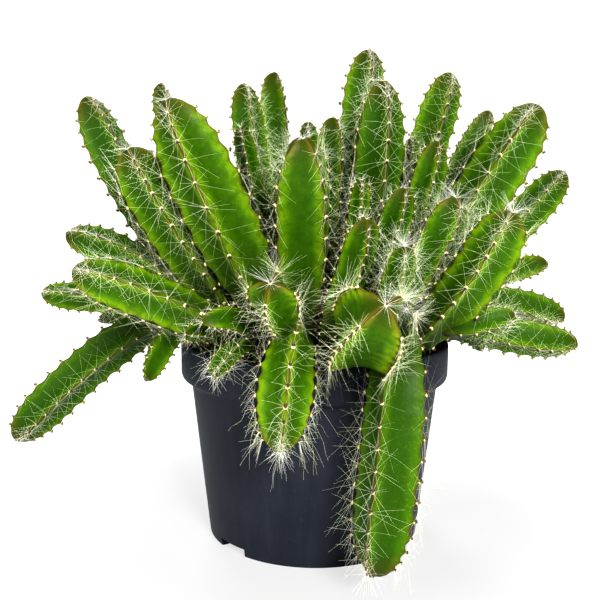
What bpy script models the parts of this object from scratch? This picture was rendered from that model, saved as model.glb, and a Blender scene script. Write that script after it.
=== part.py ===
"""Dragon fruit cactus growing in a 12 cm nursery pot.

The pot stands on the ground with the centre of its underside at the origin. Its height runs
along +Z and the side that faces the viewer looks along -Y. The pot is filled with soil, and
each ribbed stem stands in a plain hole of the soil, leans or arches out over the rim, and
carries its side shoots and its spines as one body. Sizes are in millimetres, and are turned
into metres where a mesh is made.
"""

import math
import random
from typing import NamedTuple

import bmesh
import bpy
from mathutils import Matrix, Vector
from mathutils.bvhtree import BVHTree

MM = 0.001
SHARP_ANGLE = 30.0
CUT_MARGIN = 3.0
UP = Vector((0.0, 0.0, 1.0))
VIEWER = Vector((0.0, -1.0, 0.0))

# Finishes: colour and roughness
PLASTIC = ((0.028, 0.032, 0.042), 0.55)
PEAT = ((0.05, 0.032, 0.02), 0.95)
GREEN = ((0.10, 0.28, 0.03), 0.45)

# Pot
POT_SIDES = 40
POT_HEIGHT = 88.0
RIM_RADIUS = 60.0
COLLAR_HEIGHT = 17.0
COLLAR_CHAMFER = 2.5
LIP_ROUNDING = 0.8
SHOULDER_RADIUS = 55.5
BASE_RADIUS = 47.5
WALL = 1.9
FLOOR_THICKNESS = 6.0
FOOT_NOTCHES = 4
NOTCH_WIDTH = 17.0
NOTCH_INNER_WIDTH = 13.6
NOTCH_HEIGHT = 3.6
NOTCH_REACH = 9.0
NOTCH_TURN = 42.0
DRAIN_HOLES = 4
DRAIN_RADIUS = 3.5
DRAIN_CIRCLE = 27.0
HOLE_SIDES = 8

# Soil and the holes that the stems stand in
SEAT = 0.3
SOIL_TOP = 80.0
ROOT_DEPTH = 8.0

# Stem section: the share of the rib radius at each place
NECK_SHARE = 0.42
NECK_RANGE = (3.2, 5.0)
NECK_LENGTH = 0.55
VALLEY_SHARE = {3: 0.36, 4: 0.5, 5: 0.62}
TIP_LENGTH = 2.4
TIP_ROUNDING = 2.2
SCALLOP = 0.055

# Routes
ROOT_RISE = 12.0
SHOOT_HANDLE = 0.4
END_ON = 0.85

# Spacing along a stem
AREOLE_PITCH = 12.5
SMALL_AREOLE_PITCH = 9.5
SMALL_STEM_RADIUS = 7.6
NECK_PITCH = 16.0
FIRST_AREOLE = 0.36
LAST_RING = 0.25

# Spines
SPINE_SEED = 21
SPINE_LENGTH = (7.0, 11.0)
SPINE_RADIUS = 0.36
SPINE_SUNK = 1.4
SPINE_SIDEWAYS = (-0.8, 0.8)
SPINE_LEAN = (-0.5, 0.7)
SPINE_CLEARANCE = 1.1
SPINE_TRIES = 5
SPINE_EVERY = 3
SPINE_SAMPLES = (0.15, 0.3, 0.45, 0.6, 0.75, 0.9, 1.0)
PAIR_SAMPLES = (0.25, 0.5, 0.75, 1.0)
CROWN_SPINES = 2
CROWN_TURN = 0.25
CROWN_LEAN = 1.2
CROWN_SUNK = 1.2
CROWN_SPREAD = 0.5


class Stem(NamedTuple):
    """A stem that stands in the soil: where it goes in millimetres, and its section.

    The cap is the length of the rounded tip in radii. The neck is the share of the
    stem over which it widens from its foot.
    """

    root: tuple[float, float]
    elbow: tuple[float, float, float]
    tip: tuple[float, float, float]
    radius: float
    ribs: int = 4
    twist: float = 0.0
    rise: float = ROOT_RISE
    cap: float = TIP_LENGTH
    neck: float = NECK_LENGTH


class Shoot(NamedTuple):
    """A side shoot: how far along its stem it starts, where it goes, and its section.

    The cap and the neck are those of a stem.
    """

    start: float
    elbow: tuple[float, float, float]
    tip: tuple[float, float, float]
    radius: float
    ribs: int = 4
    twist: float = 0.0
    cap: float = TIP_LENGTH
    neck: float = NECK_LENGTH


STEMS = {
    "stem_left_1": Stem((-33, 7), (-79, 3, 131), (-100.5, 0, 194.5), 10.2, 4, 38),
    "stem_left_2": Stem((-27, -6), (-57, -22, 127), (-75.5, -38, 171.5), 11.3, 4, 12, cap=1.7),
    "stem_left_3": Stem((-15, -16), (-32.8, -36, 128), (-58.3, -48, 190), 14.6, 4, -6, cap=2.5),
    "stem_left_4": Stem((-22, 20), (-62, 25, 150), (-72, 27, 203), 7.0, 3, 30),
    "stem_left_5": Stem((-27, -23), (-58, -42, 112), (-96, -50, 124), 10.0, 4, 22),
    "stem_left_6": Stem((-40, -4), (-68, -12, 126), (-108, -12, 135.5), 9.0, 4, 30),
    "stem_left_7": Stem((-43, 16), (-72, 13, 113), (-141, 10, 36), 10.6, 4, -15, 24),
    "stem_left_8": Stem((-43, -15), (-62, -24, 114), (-72, -26, 74), 7.0, 3, 20),
    "stem_front_1": Stem((-22, -34), (-30, -55, 112), (-44, -62, 106), 5.8, 3, 60),
    "stem_front_2": Stem((-6, -38), (-10, -88, 119), (-13.5, -86, 63), 10.8, 4, -3, 16, neck=0.8),
    "stem_front_3": Stem((26, -36), (36, -90, 140), (22, -78, 12), 12.5, 4, 29, 18),
    "stem_front_4": Stem((3, -26), (16, -46, 124), (18.3, -58, 145.7), 7.5, 4, 16, cap=2.0),
    "stem_centre_1": Stem((-14, 4), (-29, 0, 160), (-32, 5, 201), 7.5, 4, 20),
    "stem_centre_2": Stem((-8, 18), (-14, 28, 160), (-20, 35, 209), 8.6, 3, 30),
    "stem_centre_3": Stem((-4, -10), (-6, -34, 135), (-6, -48, 175.7), 14.0, 4, 39, cap=2.1),
    "stem_centre_4": Stem((2, 5), (8, -5, 150), (7, -8, 186), 8.0, 3, 30),
    "stem_centre_5": Stem((10, 17), (19, 14, 169), (24, 20, 217.8), 10.0, 4, 10),
    "stem_centre_6": Stem((13, -8), (29, -20, 150), (26.6, -22, 200), 10.8, 4, 11, cap=3.0),
    "stem_centre_7": Stem((22, 8), (46, 12, 155), (60, 12, 207), 9.5, 4, 10),
    "stem_centre_8": Stem((26, -9), (45, -14, 142), (50, -21, 176), 7.5, 4, 10),
    "stem_right_1": Stem((26, 21), (61, 22, 150), (80, 22, 191), 8.2, 4, 35),
    "stem_right_2": Stem((33, 1), (62, -10, 137), (92, -18, 191), 12.7, 4, -21, cap=2.1),
    "stem_right_3": Stem((40, 10), (79.3, 8, 122.7), (113.3, 12, 163.5), 8.8, 4, -15),
    "stem_right_4": Stem((37, -24), (58, -46, 105.5), (73.5, -58, 148.5), 10.7, 4, -18, cap=1.6),
    "stem_right_5": Stem((25, -20), (46, -30, 118), (56, -35, 153), 9.5, 4, 20, cap=1.6),
    "stem_right_6": Stem((13, -22), (29, -37, 130), (34, -45, 157), 7.0, 4, 10),
    "stem_right_7": Stem((33, 29), (88, 54, 103), (120, 57, 117.5), 9.0, 3, 20, 34),
    "stem_right_8": Stem((44, 21), (92, 30, 107), (123, 34, 91.5), 8.5, 4, 20, 28),
    "stem_right_9": Stem((45, -9), (90, -6, 86), (118, -4, 87.5), 9.3, 4, 20, 30),
    "stem_back_1": Stem((-28, 31), (-56, 52, 130), (-84, 66, 165), 10.0, 3, 0),
    "stem_back_2": Stem((-14, 32), (-26, 58, 135), (-36, 80, 172), 11.0, 3, 20),
    "stem_back_3": Stem((0, 28), (2, 62, 130), (2, 96, 150), 10.5, 3, 45),
    "stem_back_4": Stem((14, 32), (26, 58, 140), (34, 72, 185), 10.0, 3, 0),
    "stem_back_5": Stem((25, 39), (54, 64, 125), (76, 80, 150), 10.0, 3, 20),
    "stem_back_6": Stem((-3, 42), (-8, 96, 138), (-10, 90, 36), 11.0, 4, 10, 18),
    "stem_back_7": Stem((-37, 26), (-84, 48, 122), (-110, 60, 84), 9.0, 3, 20, 18),
    "stem_back_8": Stem((12, 45), (44, 92, 126), (52, 100, 84), 8.5, 3, 20, 18),
}

SHOOTS = {
    "stem_left_5": (Shoot(0.25, (-44, -42, 98), (-52, -50, 99), 5.0, 3),),
    "stem_left_6": (Shoot(0.35, (-84, -14, 106), (-119, -14, 110), 6.5, 4, 20),),
    "stem_front_1": (Shoot(0.3, (-30, -58, 100), (-40, -66, 86), 4.6, 3),),
    "stem_front_2": (
        Shoot(0.25, (-16, -66, 108), (-17.3, -80, 123.7), 10.8, 4, -17, 1.0, 1.0),
    ),
    "stem_front_3": (
        Shoot(0.15, (8, -84, 98), (21, -112, 121), 15.0, 4, -25, 1.3),
        Shoot(0.25, (31, -64, 111), (30, -93, 116.5), 5.2, 3, 0),
        Shoot(0.2, (30, -52, 118), (32, -66, 136), 6.5, 4, 10),
    ),
    "stem_front_4": (Shoot(0.35, (17, -42, 140), (17, -48, 160), 4.8, 3),),
    "stem_centre_1": (Shoot(0.3, (-26, -16, 150), (-32, -20, 181), 5.5, 3),),
    "stem_centre_3": (Shoot(0.4, (-2, -20, 160), (-4, -26, 183), 5.5, 3),),
    "stem_centre_7": (Shoot(0.4, (42, 2, 150), (42, 0, 178), 5.0, 3),),
    "stem_right_4": (Shoot(0.3, (58, -40, 99.5), (80, -42, 106.5), 7.6, 4, 20),),
    "stem_right_9": (Shoot(0.35, (68, -16, 96), (73, -16, 86), 5.0, 3),),
}


def clear_scene() -> None:
    """Removes everything that the start-up scene holds."""
    for obj in list(bpy.data.objects):
        bpy.data.objects.remove(obj, do_unlink=True)


def material(name: str, colour: tuple[float, float, float], roughness: float) -> bpy.types.Material:
    """Makes a plain material of one colour."""
    made = bpy.data.materials.new(name)
    made.use_nodes = True
    shader = made.node_tree.nodes["Principled BSDF"]
    shader.inputs["Base Color"].default_value = (*colour, 1.0)
    shader.inputs["Roughness"].default_value = roughness
    shader.inputs["Metallic"].default_value = 0.0
    made.diffuse_color = (*colour, 1.0)
    return made


def mesh_object(name: str, points: list[Vector], faces: list[tuple[int, ...]]) -> bpy.types.Object:
    """Makes an object from points in millimetres, with its faces turned outwards."""
    mesh = bpy.data.meshes.new(name)
    mesh.from_pydata([point * MM for point in points], [], faces)
    shape = bmesh.new()
    shape.from_mesh(mesh)
    bmesh.ops.recalc_face_normals(shape, faces=shape.faces)
    shape.to_mesh(mesh)
    shape.free()
    obj = bpy.data.objects.new(name, mesh)
    bpy.context.collection.objects.link(obj)
    return obj


def ring_faces(rings: int, sides: int) -> list[tuple[int, ...]]:
    """The side faces between neighbouring rings of points that are stored one after another."""
    faces = []
    for ring in range(rings - 1):
        for side in range(sides):
            after = (side + 1) % sides
            low, high = ring * sides, (ring + 1) * sides
            faces.append((low + side, low + after, high + after, high + side))
    return faces


def turned(name: str, profile: list[tuple[float, float]], sides: int) -> bpy.types.Object:
    """Turns an open profile of (radius, height) about Z. Its two ends are closed with flat caps."""
    points = []
    for radius, height in profile:
        for side in range(sides):
            angle = math.tau * side / sides
            points.append(Vector((radius * math.cos(angle), radius * math.sin(angle), height)))
    faces = ring_faces(len(profile), sides)
    last = (len(profile) - 1) * sides
    faces.append(tuple(reversed(range(sides))))
    faces.append(tuple(range(last, last + sides)))
    return mesh_object(name, points, faces)


def finish(obj: bpy.types.Object, surface: bpy.types.Material) -> None:
    """Gives an object its one material and smooth shading up to its sharp edges."""
    obj.data.materials.clear()
    obj.data.materials.append(surface)
    obj.data.shade_smooth()
    obj.data.set_sharp_from_angle(angle=math.radians(SHARP_ANGLE))


def cutter(name: str, radius: float, sides: int, place: Vector, height: float) -> bpy.types.Object:
    """A prism that stands on a place and takes material out of a piece."""
    obj = turned(name, [(radius, 0.0), (radius, height)], sides)
    obj.location = place * MM
    return obj


def merge(obj: bpy.types.Object, others: list[bpy.types.Object], operation: str) -> None:
    """Applies one Boolean with all the other objects to the object, then removes them."""
    group = bpy.data.collections.new(obj.name + "_group")
    for other in others:
        bpy.context.collection.objects.unlink(other)
        group.objects.link(other)
    bpy.context.scene.collection.children.link(group)
    boolean = obj.modifiers.new(operation.lower(), "BOOLEAN")
    boolean.operation = operation
    boolean.operand_type = "COLLECTION"
    boolean.collection = group
    boolean.solver = "MANIFOLD" if operation == "UNION" else "EXACT"
    graph = bpy.context.evaluated_depsgraph_get()
    made = bpy.data.meshes.new_from_object(obj.evaluated_get(graph))
    obj.modifiers.clear()
    obj.data = made
    for other in others:
        bpy.data.objects.remove(other, do_unlink=True)
    bpy.data.collections.remove(group)


def islands(shape: bmesh.types.BMesh) -> list[list[bmesh.types.BMFace]]:
    """The groups of faces of a mesh that hang together."""
    left = set(shape.faces)
    groups = []
    while left:
        group = []
        front = [left.pop()]
        while front:
            face = front.pop()
            group.append(face)
            for edge in face.edges:
                for other in edge.link_faces:
                    if other in left:
                        left.remove(other)
                        front.append(other)
        groups.append(group)
    return groups


def fill_hollows(obj: bpy.types.Object) -> None:
    """Keeps the outer skin of a joined body: hollows that the join sealed are filled."""
    shape = bmesh.new()
    shape.from_mesh(obj.data)
    groups = sorted(islands(shape), key=lambda group: sum(face.calc_area() for face in group))
    for group in groups[:-1]:
        bmesh.ops.delete(shape, geom=group, context="FACES")
    shape.to_mesh(obj.data)
    shape.free()


def wall_radius(height: float) -> float:
    """Outer radius of the pot's tapered body at a height below the collar."""
    collar_bottom = POT_HEIGHT - COLLAR_HEIGHT
    return BASE_RADIUS + (SHOULDER_RADIUS - BASE_RADIUS) * height / collar_bottom


def inner_profile(gap: float, top: float) -> list[tuple[float, float]]:
    """The inside of the pot from its floor up to a height, drawn in by a gap."""
    shoulder = POT_HEIGHT - COLLAR_HEIGHT
    inset = WALL + gap
    return [
        (wall_radius(FLOOR_THICKNESS) - inset, FLOOR_THICKNESS + gap),
        (wall_radius(shoulder) - inset, shoulder + gap),
        (RIM_RADIUS - inset, shoulder + COLLAR_CHAMFER + gap),
        (RIM_RADIUS - inset, top),
    ]


def build_pot() -> bpy.types.Object:
    """The nursery pot: a tapered cup with a collar, notches in its foot and drain holes."""
    shoulder = POT_HEIGHT - COLLAR_HEIGHT
    outside = [
        (BASE_RADIUS, 0.0),
        (wall_radius(shoulder), shoulder),
        (RIM_RADIUS, shoulder + COLLAR_CHAMFER),
        (RIM_RADIUS, POT_HEIGHT - LIP_ROUNDING),
        (RIM_RADIUS - LIP_ROUNDING, POT_HEIGHT),
    ]
    pot = turned("pot", outside + inner_profile(0.0, POT_HEIGHT)[::-1], POT_SIDES)
    cutters = []
    for index in range(FOOT_NOTCHES):
        turn = math.radians(NOTCH_TURN) + math.tau * index / FOOT_NOTCHES
        notch = mesh_object(f"notch_{index}", *notch_box())
        notch.rotation_euler = (0.0, 0.0, turn)
        cutters.append(notch)
    for index in range(DRAIN_HOLES):
        turn = math.radians(NOTCH_TURN) + math.tau * (index + 0.5) / DRAIN_HOLES
        place = Vector((DRAIN_CIRCLE * math.cos(turn), DRAIN_CIRCLE * math.sin(turn), -CUT_MARGIN))
        depth = FLOOR_THICKNESS + 2.0 * CUT_MARGIN
        cutters.append(cutter(f"drain_{index}", DRAIN_RADIUS, HOLE_SIDES, place, depth))
    merge(pot, cutters, "DIFFERENCE")
    return pot


def notch_box() -> tuple[list[Vector], list[tuple[int, ...]]]:
    """A box that cuts one notch into the foot of the wall at +X, from the outside inwards."""
    inner = BASE_RADIUS - NOTCH_REACH
    outer = BASE_RADIUS + CUT_MARGIN
    points = []
    for height in (-CUT_MARGIN, NOTCH_HEIGHT):
        for x, width in ((inner, NOTCH_INNER_WIDTH), (outer, NOTCH_WIDTH)):
            points.append(Vector((x, -0.5 * width, height)))
            points.append(Vector((x, 0.5 * width, height)))
    faces = [(0, 1, 3, 2), (4, 6, 7, 5), (0, 2, 6, 4), (1, 5, 7, 3), (0, 4, 5, 1), (2, 3, 7, 6)]
    return points, faces


def neck_radius(radius: float) -> float:
    """Radius of a stem where it stands in the soil."""
    return min(max(NECK_SHARE * radius, NECK_RANGE[0]), NECK_RANGE[1])


def build_soil() -> bpy.types.Object:
    """The soil that fills the pot, with a plain hole for the root of each stem."""
    soil = turned("soil", inner_profile(SEAT, SOIL_TOP), POT_SIDES)
    holes = []
    for name, stem in STEMS.items():
        radius = (neck_radius(stem.radius) + SEAT) / math.cos(math.pi / HOLE_SIDES)
        place = Vector((*stem.root, SOIL_TOP - ROOT_DEPTH))
        holes.append(cutter("hole_" + name, radius, HOLE_SIDES, place, ROOT_DEPTH + CUT_MARGIN))
    merge(soil, holes, "DIFFERENCE")
    return soil


def smoothstep(value: float) -> float:
    """Eases from 0 to 1 as the value does."""
    value = min(max(value, 0.0), 1.0)
    return value * value * (3.0 - 2.0 * value)


class Route:
    """The middle line of a stem as a cubic curve, with a frame that doesn't turn about it."""

    STEPS = 80

    def __init__(self, start: Vector, handle: Vector, elbow: Vector, tip: Vector) -> None:
        """Samples the curve, its length and its frames.

        Args:
            start: Where the stem starts.
            handle: The point that the stem heads for as it starts.
            elbow: The point that the stem comes from as it ends.
            tip: Where the stem ends.
        """
        self.points = [self.cubic(start, handle, elbow, tip, i / self.STEPS) for i in range(self.STEPS + 1)]
        self.lengths = [0.0]
        for before, after in zip(self.points, self.points[1:]):
            self.lengths.append(self.lengths[-1] + (after - before).length)
        self.length = self.lengths[-1]
        self.tangents = [(handle - start).normalized()]
        for before, after in zip(self.points, self.points[2:]):
            self.tangents.append((after - before).normalized())
        self.tangents.append((tip - elbow).normalized())
        self.sides = self.carried_sides()

    @staticmethod
    def cubic(start: Vector, handle: Vector, elbow: Vector, tip: Vector, t: float) -> Vector:
        """A point of the cubic Bezier curve."""
        u = 1.0 - t
        return u**3 * start + 3 * u * u * t * handle + 3 * u * t * t * elbow + t**3 * tip

    def carried_sides(self) -> list[Vector]:
        """One direction across the stem at each sample, set at the tip and carried to the root."""
        tangent = self.tangents[-1]
        seen = VIEWER if abs(tangent.dot(VIEWER)) < END_ON else UP
        side = (seen - seen.dot(tangent) * tangent).normalized()
        sides = [side]
        for after, before in zip(self.tangents[::-1], self.tangents[-2::-1]):
            side = after.rotation_difference(before) @ side
            side = (side - side.dot(before) * before).normalized()
            sides.append(side)
        return sides[::-1]

    def at(self, distance: float) -> tuple[Vector, Vector, Vector]:
        """The point, tangent and side direction at a distance from the start."""
        distance = min(max(distance, 0.0), self.length)
        index = 0
        while index < self.STEPS - 1 and self.lengths[index + 1] < distance:
            index += 1
        span = self.lengths[index + 1] - self.lengths[index]
        share = (distance - self.lengths[index]) / span
        point = self.points[index].lerp(self.points[index + 1], share)
        tangent = self.tangents[index].lerp(self.tangents[index + 1], share).normalized()
        side = self.sides[index].lerp(self.sides[index + 1], share)
        return point, tangent, (side - side.dot(tangent) * tangent).normalized()


class Areole(NamedTuple):
    """A place on a rib that carries spines."""

    point: Vector
    out: Vector
    along: Vector


class StemBody:
    """The ribbed body of one stem or shoot: its points, faces and areoles."""

    def __init__(self, route: Route, shape: Stem | Shoot, rooted: bool) -> None:
        """Lays the rings of the body along its route.

        Args:
            route: The middle line.
            shape: The section that the stem or shoot was given.
            rooted: Whether it stands in the soil, and so reaches down into its hole.
        """
        self.route = route
        self.shape = shape
        self.sides = 2 * shape.ribs
        self.points: list[Vector] = []
        self.areoles: list[Areole] = []
        if rooted:
            below = Vector((0.0, 0.0, SEAT - ROOT_DEPTH))
            self.points += [point + below for point in self.ring(0.0, 0.0)]
        self.points += self.ring(0.0, 0.0)
        for distance in self.neck_stations():
            self.points += self.ring(distance, 0.0)
        for index, distance in enumerate(self.rib_stations()):
            self.points += self.ring(distance, -1.0 if index % 2 else 1.0)
            self.note_areoles(distance, index)
        self.rings = len(self.points) // self.sides
        self.points.append(route.at(route.length)[0])

    def pitch(self) -> float:
        """Distance between areoles on a rib."""
        return SMALL_AREOLE_PITCH if self.shape.radius < SMALL_STEM_RADIUS else AREOLE_PITCH

    def neck_stations(self) -> list[float]:
        """Distances of the plain rings between the root and the first areoles."""
        reach = FIRST_AREOLE * self.route.length
        count = max(round(reach / NECK_PITCH), 1)
        return [reach * i / count for i in range(1, count)]

    def rib_stations(self) -> list[float]:
        """Distances of the scalloped rings, from the first areole to the tip."""
        first = FIRST_AREOLE * self.route.length
        last = self.route.length - LAST_RING * self.shape.radius
        count = max(round((last - first) / (0.5 * self.pitch())), 2)
        return [first + (last - first) * i / count for i in range(count + 1)]

    def radius_at(self, distance: float) -> float:
        """Radius of the ribs at a distance, with the narrow neck and the blunt tip."""
        length = self.route.length
        neck = neck_radius(self.shape.radius) / self.shape.radius
        share = neck + (1.0 - neck) * smoothstep(distance / (self.shape.neck * length))
        cap = self.shape.cap * self.shape.radius
        into = max(distance - (length - cap), 0.0) / cap
        return self.shape.radius * share * (1.0 - into**TIP_ROUNDING) ** (1.0 / TIP_ROUNDING)

    def valley_at(self, distance: float) -> float:
        """Share of the rib radius that the valleys have at a distance."""
        opened = smoothstep(distance / (self.shape.neck * self.route.length))
        return 1.0 + (VALLEY_SHARE[self.shape.ribs] - 1.0) * opened

    def rib_direction(self, tangent: Vector, side: Vector, index: int) -> Vector:
        """Outward direction of a crest or, between two crests, of a valley."""
        angle = math.radians(self.shape.twist) + math.tau * index / self.sides
        return Matrix.Rotation(angle, 3, tangent) @ side

    def ring(self, distance: float, wave: float) -> list[Vector]:
        """The crest and valley points of one ring. The wave swells every second rib."""
        centre, tangent, side = self.route.at(distance)
        radius = self.radius_at(distance)
        points = []
        for index in range(self.sides):
            share = self.valley_at(distance)
            if index % 2 == 0:
                share = 1.0 + SCALLOP * wave * (1.0 if index % 4 == 0 else -1.0)
            points.append(centre + radius * share * self.rib_direction(tangent, side, index))
        return points

    def note_areoles(self, distance: float, ring_index: int) -> None:
        """Keeps the places of a ring's swollen crests, which carry the spines."""
        centre, tangent, side = self.route.at(distance)
        for index in range(0, self.sides, 2):
            swollen = (ring_index % 2 == 0) == (index % 4 == 0)
            if swollen:
                out = self.rib_direction(tangent, side, index)
                point = centre + self.radius_at(distance) * out
                self.areoles.append(Areole(point, out, tangent))

    def faces(self) -> list[tuple[int, ...]]:
        """The body's faces: its sides, the flat end at the root and the fan of the tip."""
        faces = ring_faces(self.rings, self.sides)
        faces.append(tuple(reversed(range(self.sides))))
        last = (self.rings - 1) * self.sides
        pole = self.rings * self.sides
        for side in range(self.sides):
            faces.append((last + side, last + (side + 1) % self.sides, pole))
        return faces


def bodies_of(name: str) -> list[StemBody]:
    """The bodies of a stem and of the shoots that grow from it."""
    stem = STEMS[name]
    start = Vector((*stem.root, SOIL_TOP))
    route = Route(start, start + stem.rise * UP, Vector(stem.elbow), Vector(stem.tip))
    bodies = [StemBody(route, stem, True)]
    for shoot in SHOOTS.get(name, ()):
        begin = route.at(shoot.start * route.length)[0]
        handle = begin.lerp(Vector(shoot.elbow), SHOOT_HANDLE)
        shoot_route = Route(begin, handle, Vector(shoot.elbow), Vector(shoot.tip))
        bodies.append(StemBody(shoot_route, shoot, False))
    return bodies


class Spine(NamedTuple):
    """A straight three-sided spine from its sunk foot to its point."""

    foot: Vector
    point: Vector


def spine_is_clear(spine: Spine, others: list[BVHTree], placed: list[Spine]) -> bool:
    """Whether a spine keeps its clearance from the other pieces and from their spines."""
    for share in SPINE_SAMPLES:
        place = spine.foot.lerp(spine.point, share)
        for tree in others:
            if tree.find_nearest(place, SPINE_CLEARANCE)[0] is not None:
                return False
    for other in placed:
        for share in PAIR_SAMPLES:
            place = spine.foot.lerp(spine.point, share)
            for other_share in PAIR_SAMPLES:
                if (place - other.foot.lerp(other.point, other_share)).length < 2.0 * SPINE_CLEARANCE:
                    return False
    return True


def spine_from(areole: Areole, rng: random.Random) -> Spine:
    """A spine that leaves an areole outwards, leaning at random."""
    across = areole.out.cross(areole.along)
    direction = areole.out + rng.uniform(*SPINE_SIDEWAYS) * across + rng.uniform(*SPINE_LEAN) * areole.along
    length = rng.uniform(*SPINE_LENGTH)
    foot = areole.point - SPINE_SUNK * areole.out
    return Spine(foot, foot + (length + SPINE_SUNK) * direction.normalized())


def spines_of(
    bodies: list[StemBody], others: list[BVHTree], placed: list[Spine], rng: random.Random
) -> list[Spine]:
    """Places spines on some of the areoles and round each tip, clear of the other pieces."""
    spines = []
    for body in bodies:
        chosen = body.areoles[::-1][::SPINE_EVERY]
        tip, along, side = body.route.at(body.route.length)
        for index in range(CROWN_SPINES):
            turn = Matrix.Rotation(math.tau * (index + CROWN_TURN) / CROWN_SPINES, 3, along)
            aside = turn @ side
            out = (aside + CROWN_LEAN * along).normalized()
            chosen.insert(0, Areole(tip - CROWN_SUNK * along + CROWN_SPREAD * aside, out, along))
        for areole in chosen:
            for _ in range(SPINE_TRIES):
                spine = spine_from(areole, rng)
                if spine_is_clear(spine, others, placed):
                    spines.append(spine)
                    placed.append(spine)
                    break
    return spines


def spine_object(name: str, spine: Spine) -> bpy.types.Object:
    """The solid of a spine: a slim three-sided pyramid."""
    along = (spine.point - spine.foot).normalized()
    across = along.orthogonal().normalized()
    points = []
    for corner in range(3):
        turn = Matrix.Rotation(math.tau * corner / 3, 3, along)
        points.append(spine.foot + SPINE_RADIUS * (turn @ across))
    points.append(spine.point)
    return mesh_object(name, points, [(0, 2, 1), (0, 1, 3), (1, 2, 3), (2, 0, 3)])


def tree_of(bodies: list[StemBody]) -> BVHTree:
    """A search tree of the surfaces of a stem and its shoots, in millimetres."""
    points: list[Vector] = []
    faces: list[tuple[int, ...]] = []
    for body in bodies:
        first = len(points)
        points += body.points
        faces += [tuple(first + corner for corner in face) for face in body.faces()]
    return BVHTree.FromPolygons(points, faces)


def tree_of_object(obj: bpy.types.Object) -> BVHTree:
    """A search tree of an object's surface, in millimetres."""
    points = [obj.matrix_world @ vertex.co / MM for vertex in obj.data.vertices]
    faces = [tuple(face.vertices) for face in obj.data.polygons]
    return BVHTree.FromPolygons(points, faces)


def build_stem(name: str, bodies: list[StemBody], spines: list[Spine]) -> bpy.types.Object:
    """Joins a stem, its shoots and its spines into one solid."""
    stem = mesh_object(name, bodies[0].points, bodies[0].faces())
    others = []
    for index, body in enumerate(bodies[1:]):
        others.append(mesh_object(f"{name}_shoot_{index}", body.points, body.faces()))
    for index, spine in enumerate(spines):
        others.append(spine_object(f"{name}_spine_{index}", spine))
    merge(stem, others, "UNION")
    fill_hollows(stem)
    return stem


def main() -> None:
    """Builds the pot, the soil and every stem."""
    clear_scene()
    plastic = material("pot_plastic", *PLASTIC)
    peat = material("soil", *PEAT)
    green = material("cactus_green", *GREEN)
    pot = build_pot()
    finish(pot, plastic)
    soil = build_soil()
    finish(soil, peat)
    bodies = {name: bodies_of(name) for name in STEMS}
    trees = {name: tree_of(parts) for name, parts in bodies.items()}
    holders = [tree_of_object(pot), tree_of_object(soil)]
    rng = random.Random(SPINE_SEED)
    placed: list[Spine] = []
    for name, parts in bodies.items():
        others = holders + [tree for other, tree in trees.items() if other != name]
        spines = spines_of(parts, others, placed, rng)
        finish(build_stem(name, parts, spines), green)


if __name__ == "__main__":
    main()
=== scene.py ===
"""Looks of the potted dragon fruit cactus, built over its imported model.

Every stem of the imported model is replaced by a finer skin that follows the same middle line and
section. Geometry Nodes turn the pot's shell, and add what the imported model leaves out: the nubs,
wool cushions, bristles and hairs of the areoles, and the crumbs of the soil. Sizes are in
millimetres, and become metres in a mesh.
"""

from __future__ import annotations

import logging
import math
from dataclasses import dataclass, field
from enum import Enum

import bpy
import numpy as np
from mathutils import Matrix, Vector


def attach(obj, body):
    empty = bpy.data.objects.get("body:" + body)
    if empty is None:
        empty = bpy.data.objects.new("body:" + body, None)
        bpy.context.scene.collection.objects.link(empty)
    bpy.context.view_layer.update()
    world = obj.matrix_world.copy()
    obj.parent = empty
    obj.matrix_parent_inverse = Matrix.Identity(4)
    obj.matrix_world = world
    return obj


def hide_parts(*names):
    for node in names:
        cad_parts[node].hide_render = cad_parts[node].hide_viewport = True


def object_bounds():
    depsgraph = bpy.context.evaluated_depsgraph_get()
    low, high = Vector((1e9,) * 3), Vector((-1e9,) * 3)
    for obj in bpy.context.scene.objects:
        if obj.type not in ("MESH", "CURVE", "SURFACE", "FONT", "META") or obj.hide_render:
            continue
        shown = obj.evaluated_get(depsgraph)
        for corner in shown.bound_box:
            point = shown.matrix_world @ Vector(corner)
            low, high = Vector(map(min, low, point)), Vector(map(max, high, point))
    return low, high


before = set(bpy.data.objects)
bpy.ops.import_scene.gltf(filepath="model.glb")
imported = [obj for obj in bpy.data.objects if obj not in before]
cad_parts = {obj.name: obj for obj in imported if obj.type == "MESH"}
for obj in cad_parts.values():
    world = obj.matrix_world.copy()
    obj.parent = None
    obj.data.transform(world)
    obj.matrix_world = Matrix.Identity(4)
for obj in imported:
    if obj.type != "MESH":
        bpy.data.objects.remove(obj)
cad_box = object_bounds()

log = logging.getLogger("cactus")

MM = 0.001
BODY = "root"
UP = np.array((0.0, 0.0, 1.0))
VIEWER = np.array((0.0, -1.0, 0.0))
BOX_MARGIN = 0.4
POINT_VALUES = ("out", "along", "count", "reach", "lift", "sag", "size", "bend", "swing")

Colour = tuple[float, float, float]
Point = tuple[float, float, float]
Pair = tuple[float, float]


@dataclass(frozen=True)
class Stem:
    """A stem that stands in the soil: where it goes, and its section.

    Args:
        root: Where it stands on the soil.
        elbow: The point that it comes from as it ends.
        tip: Where it ends.
        radius: Radius of its ribs at the widest place.
        ribs: Number of ribs.
        twist: Turn of the first rib about the middle line, in degrees.
        rise: How far it heads straight up from the soil.
        cap: Length of its rounded end, in radii.
        neck: Share of its length over which it widens from its foot.
        pitch: Distance between the areoles of a rib, away from the tip. 0 takes it from the radius.
    """

    root: Pair
    elbow: Point
    tip: Point
    radius: float
    ribs: int = 4
    twist: float = 0.0
    rise: float = 12.0
    cap: float = 2.4
    neck: float = 0.55
    pitch: float = 0.0


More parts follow.
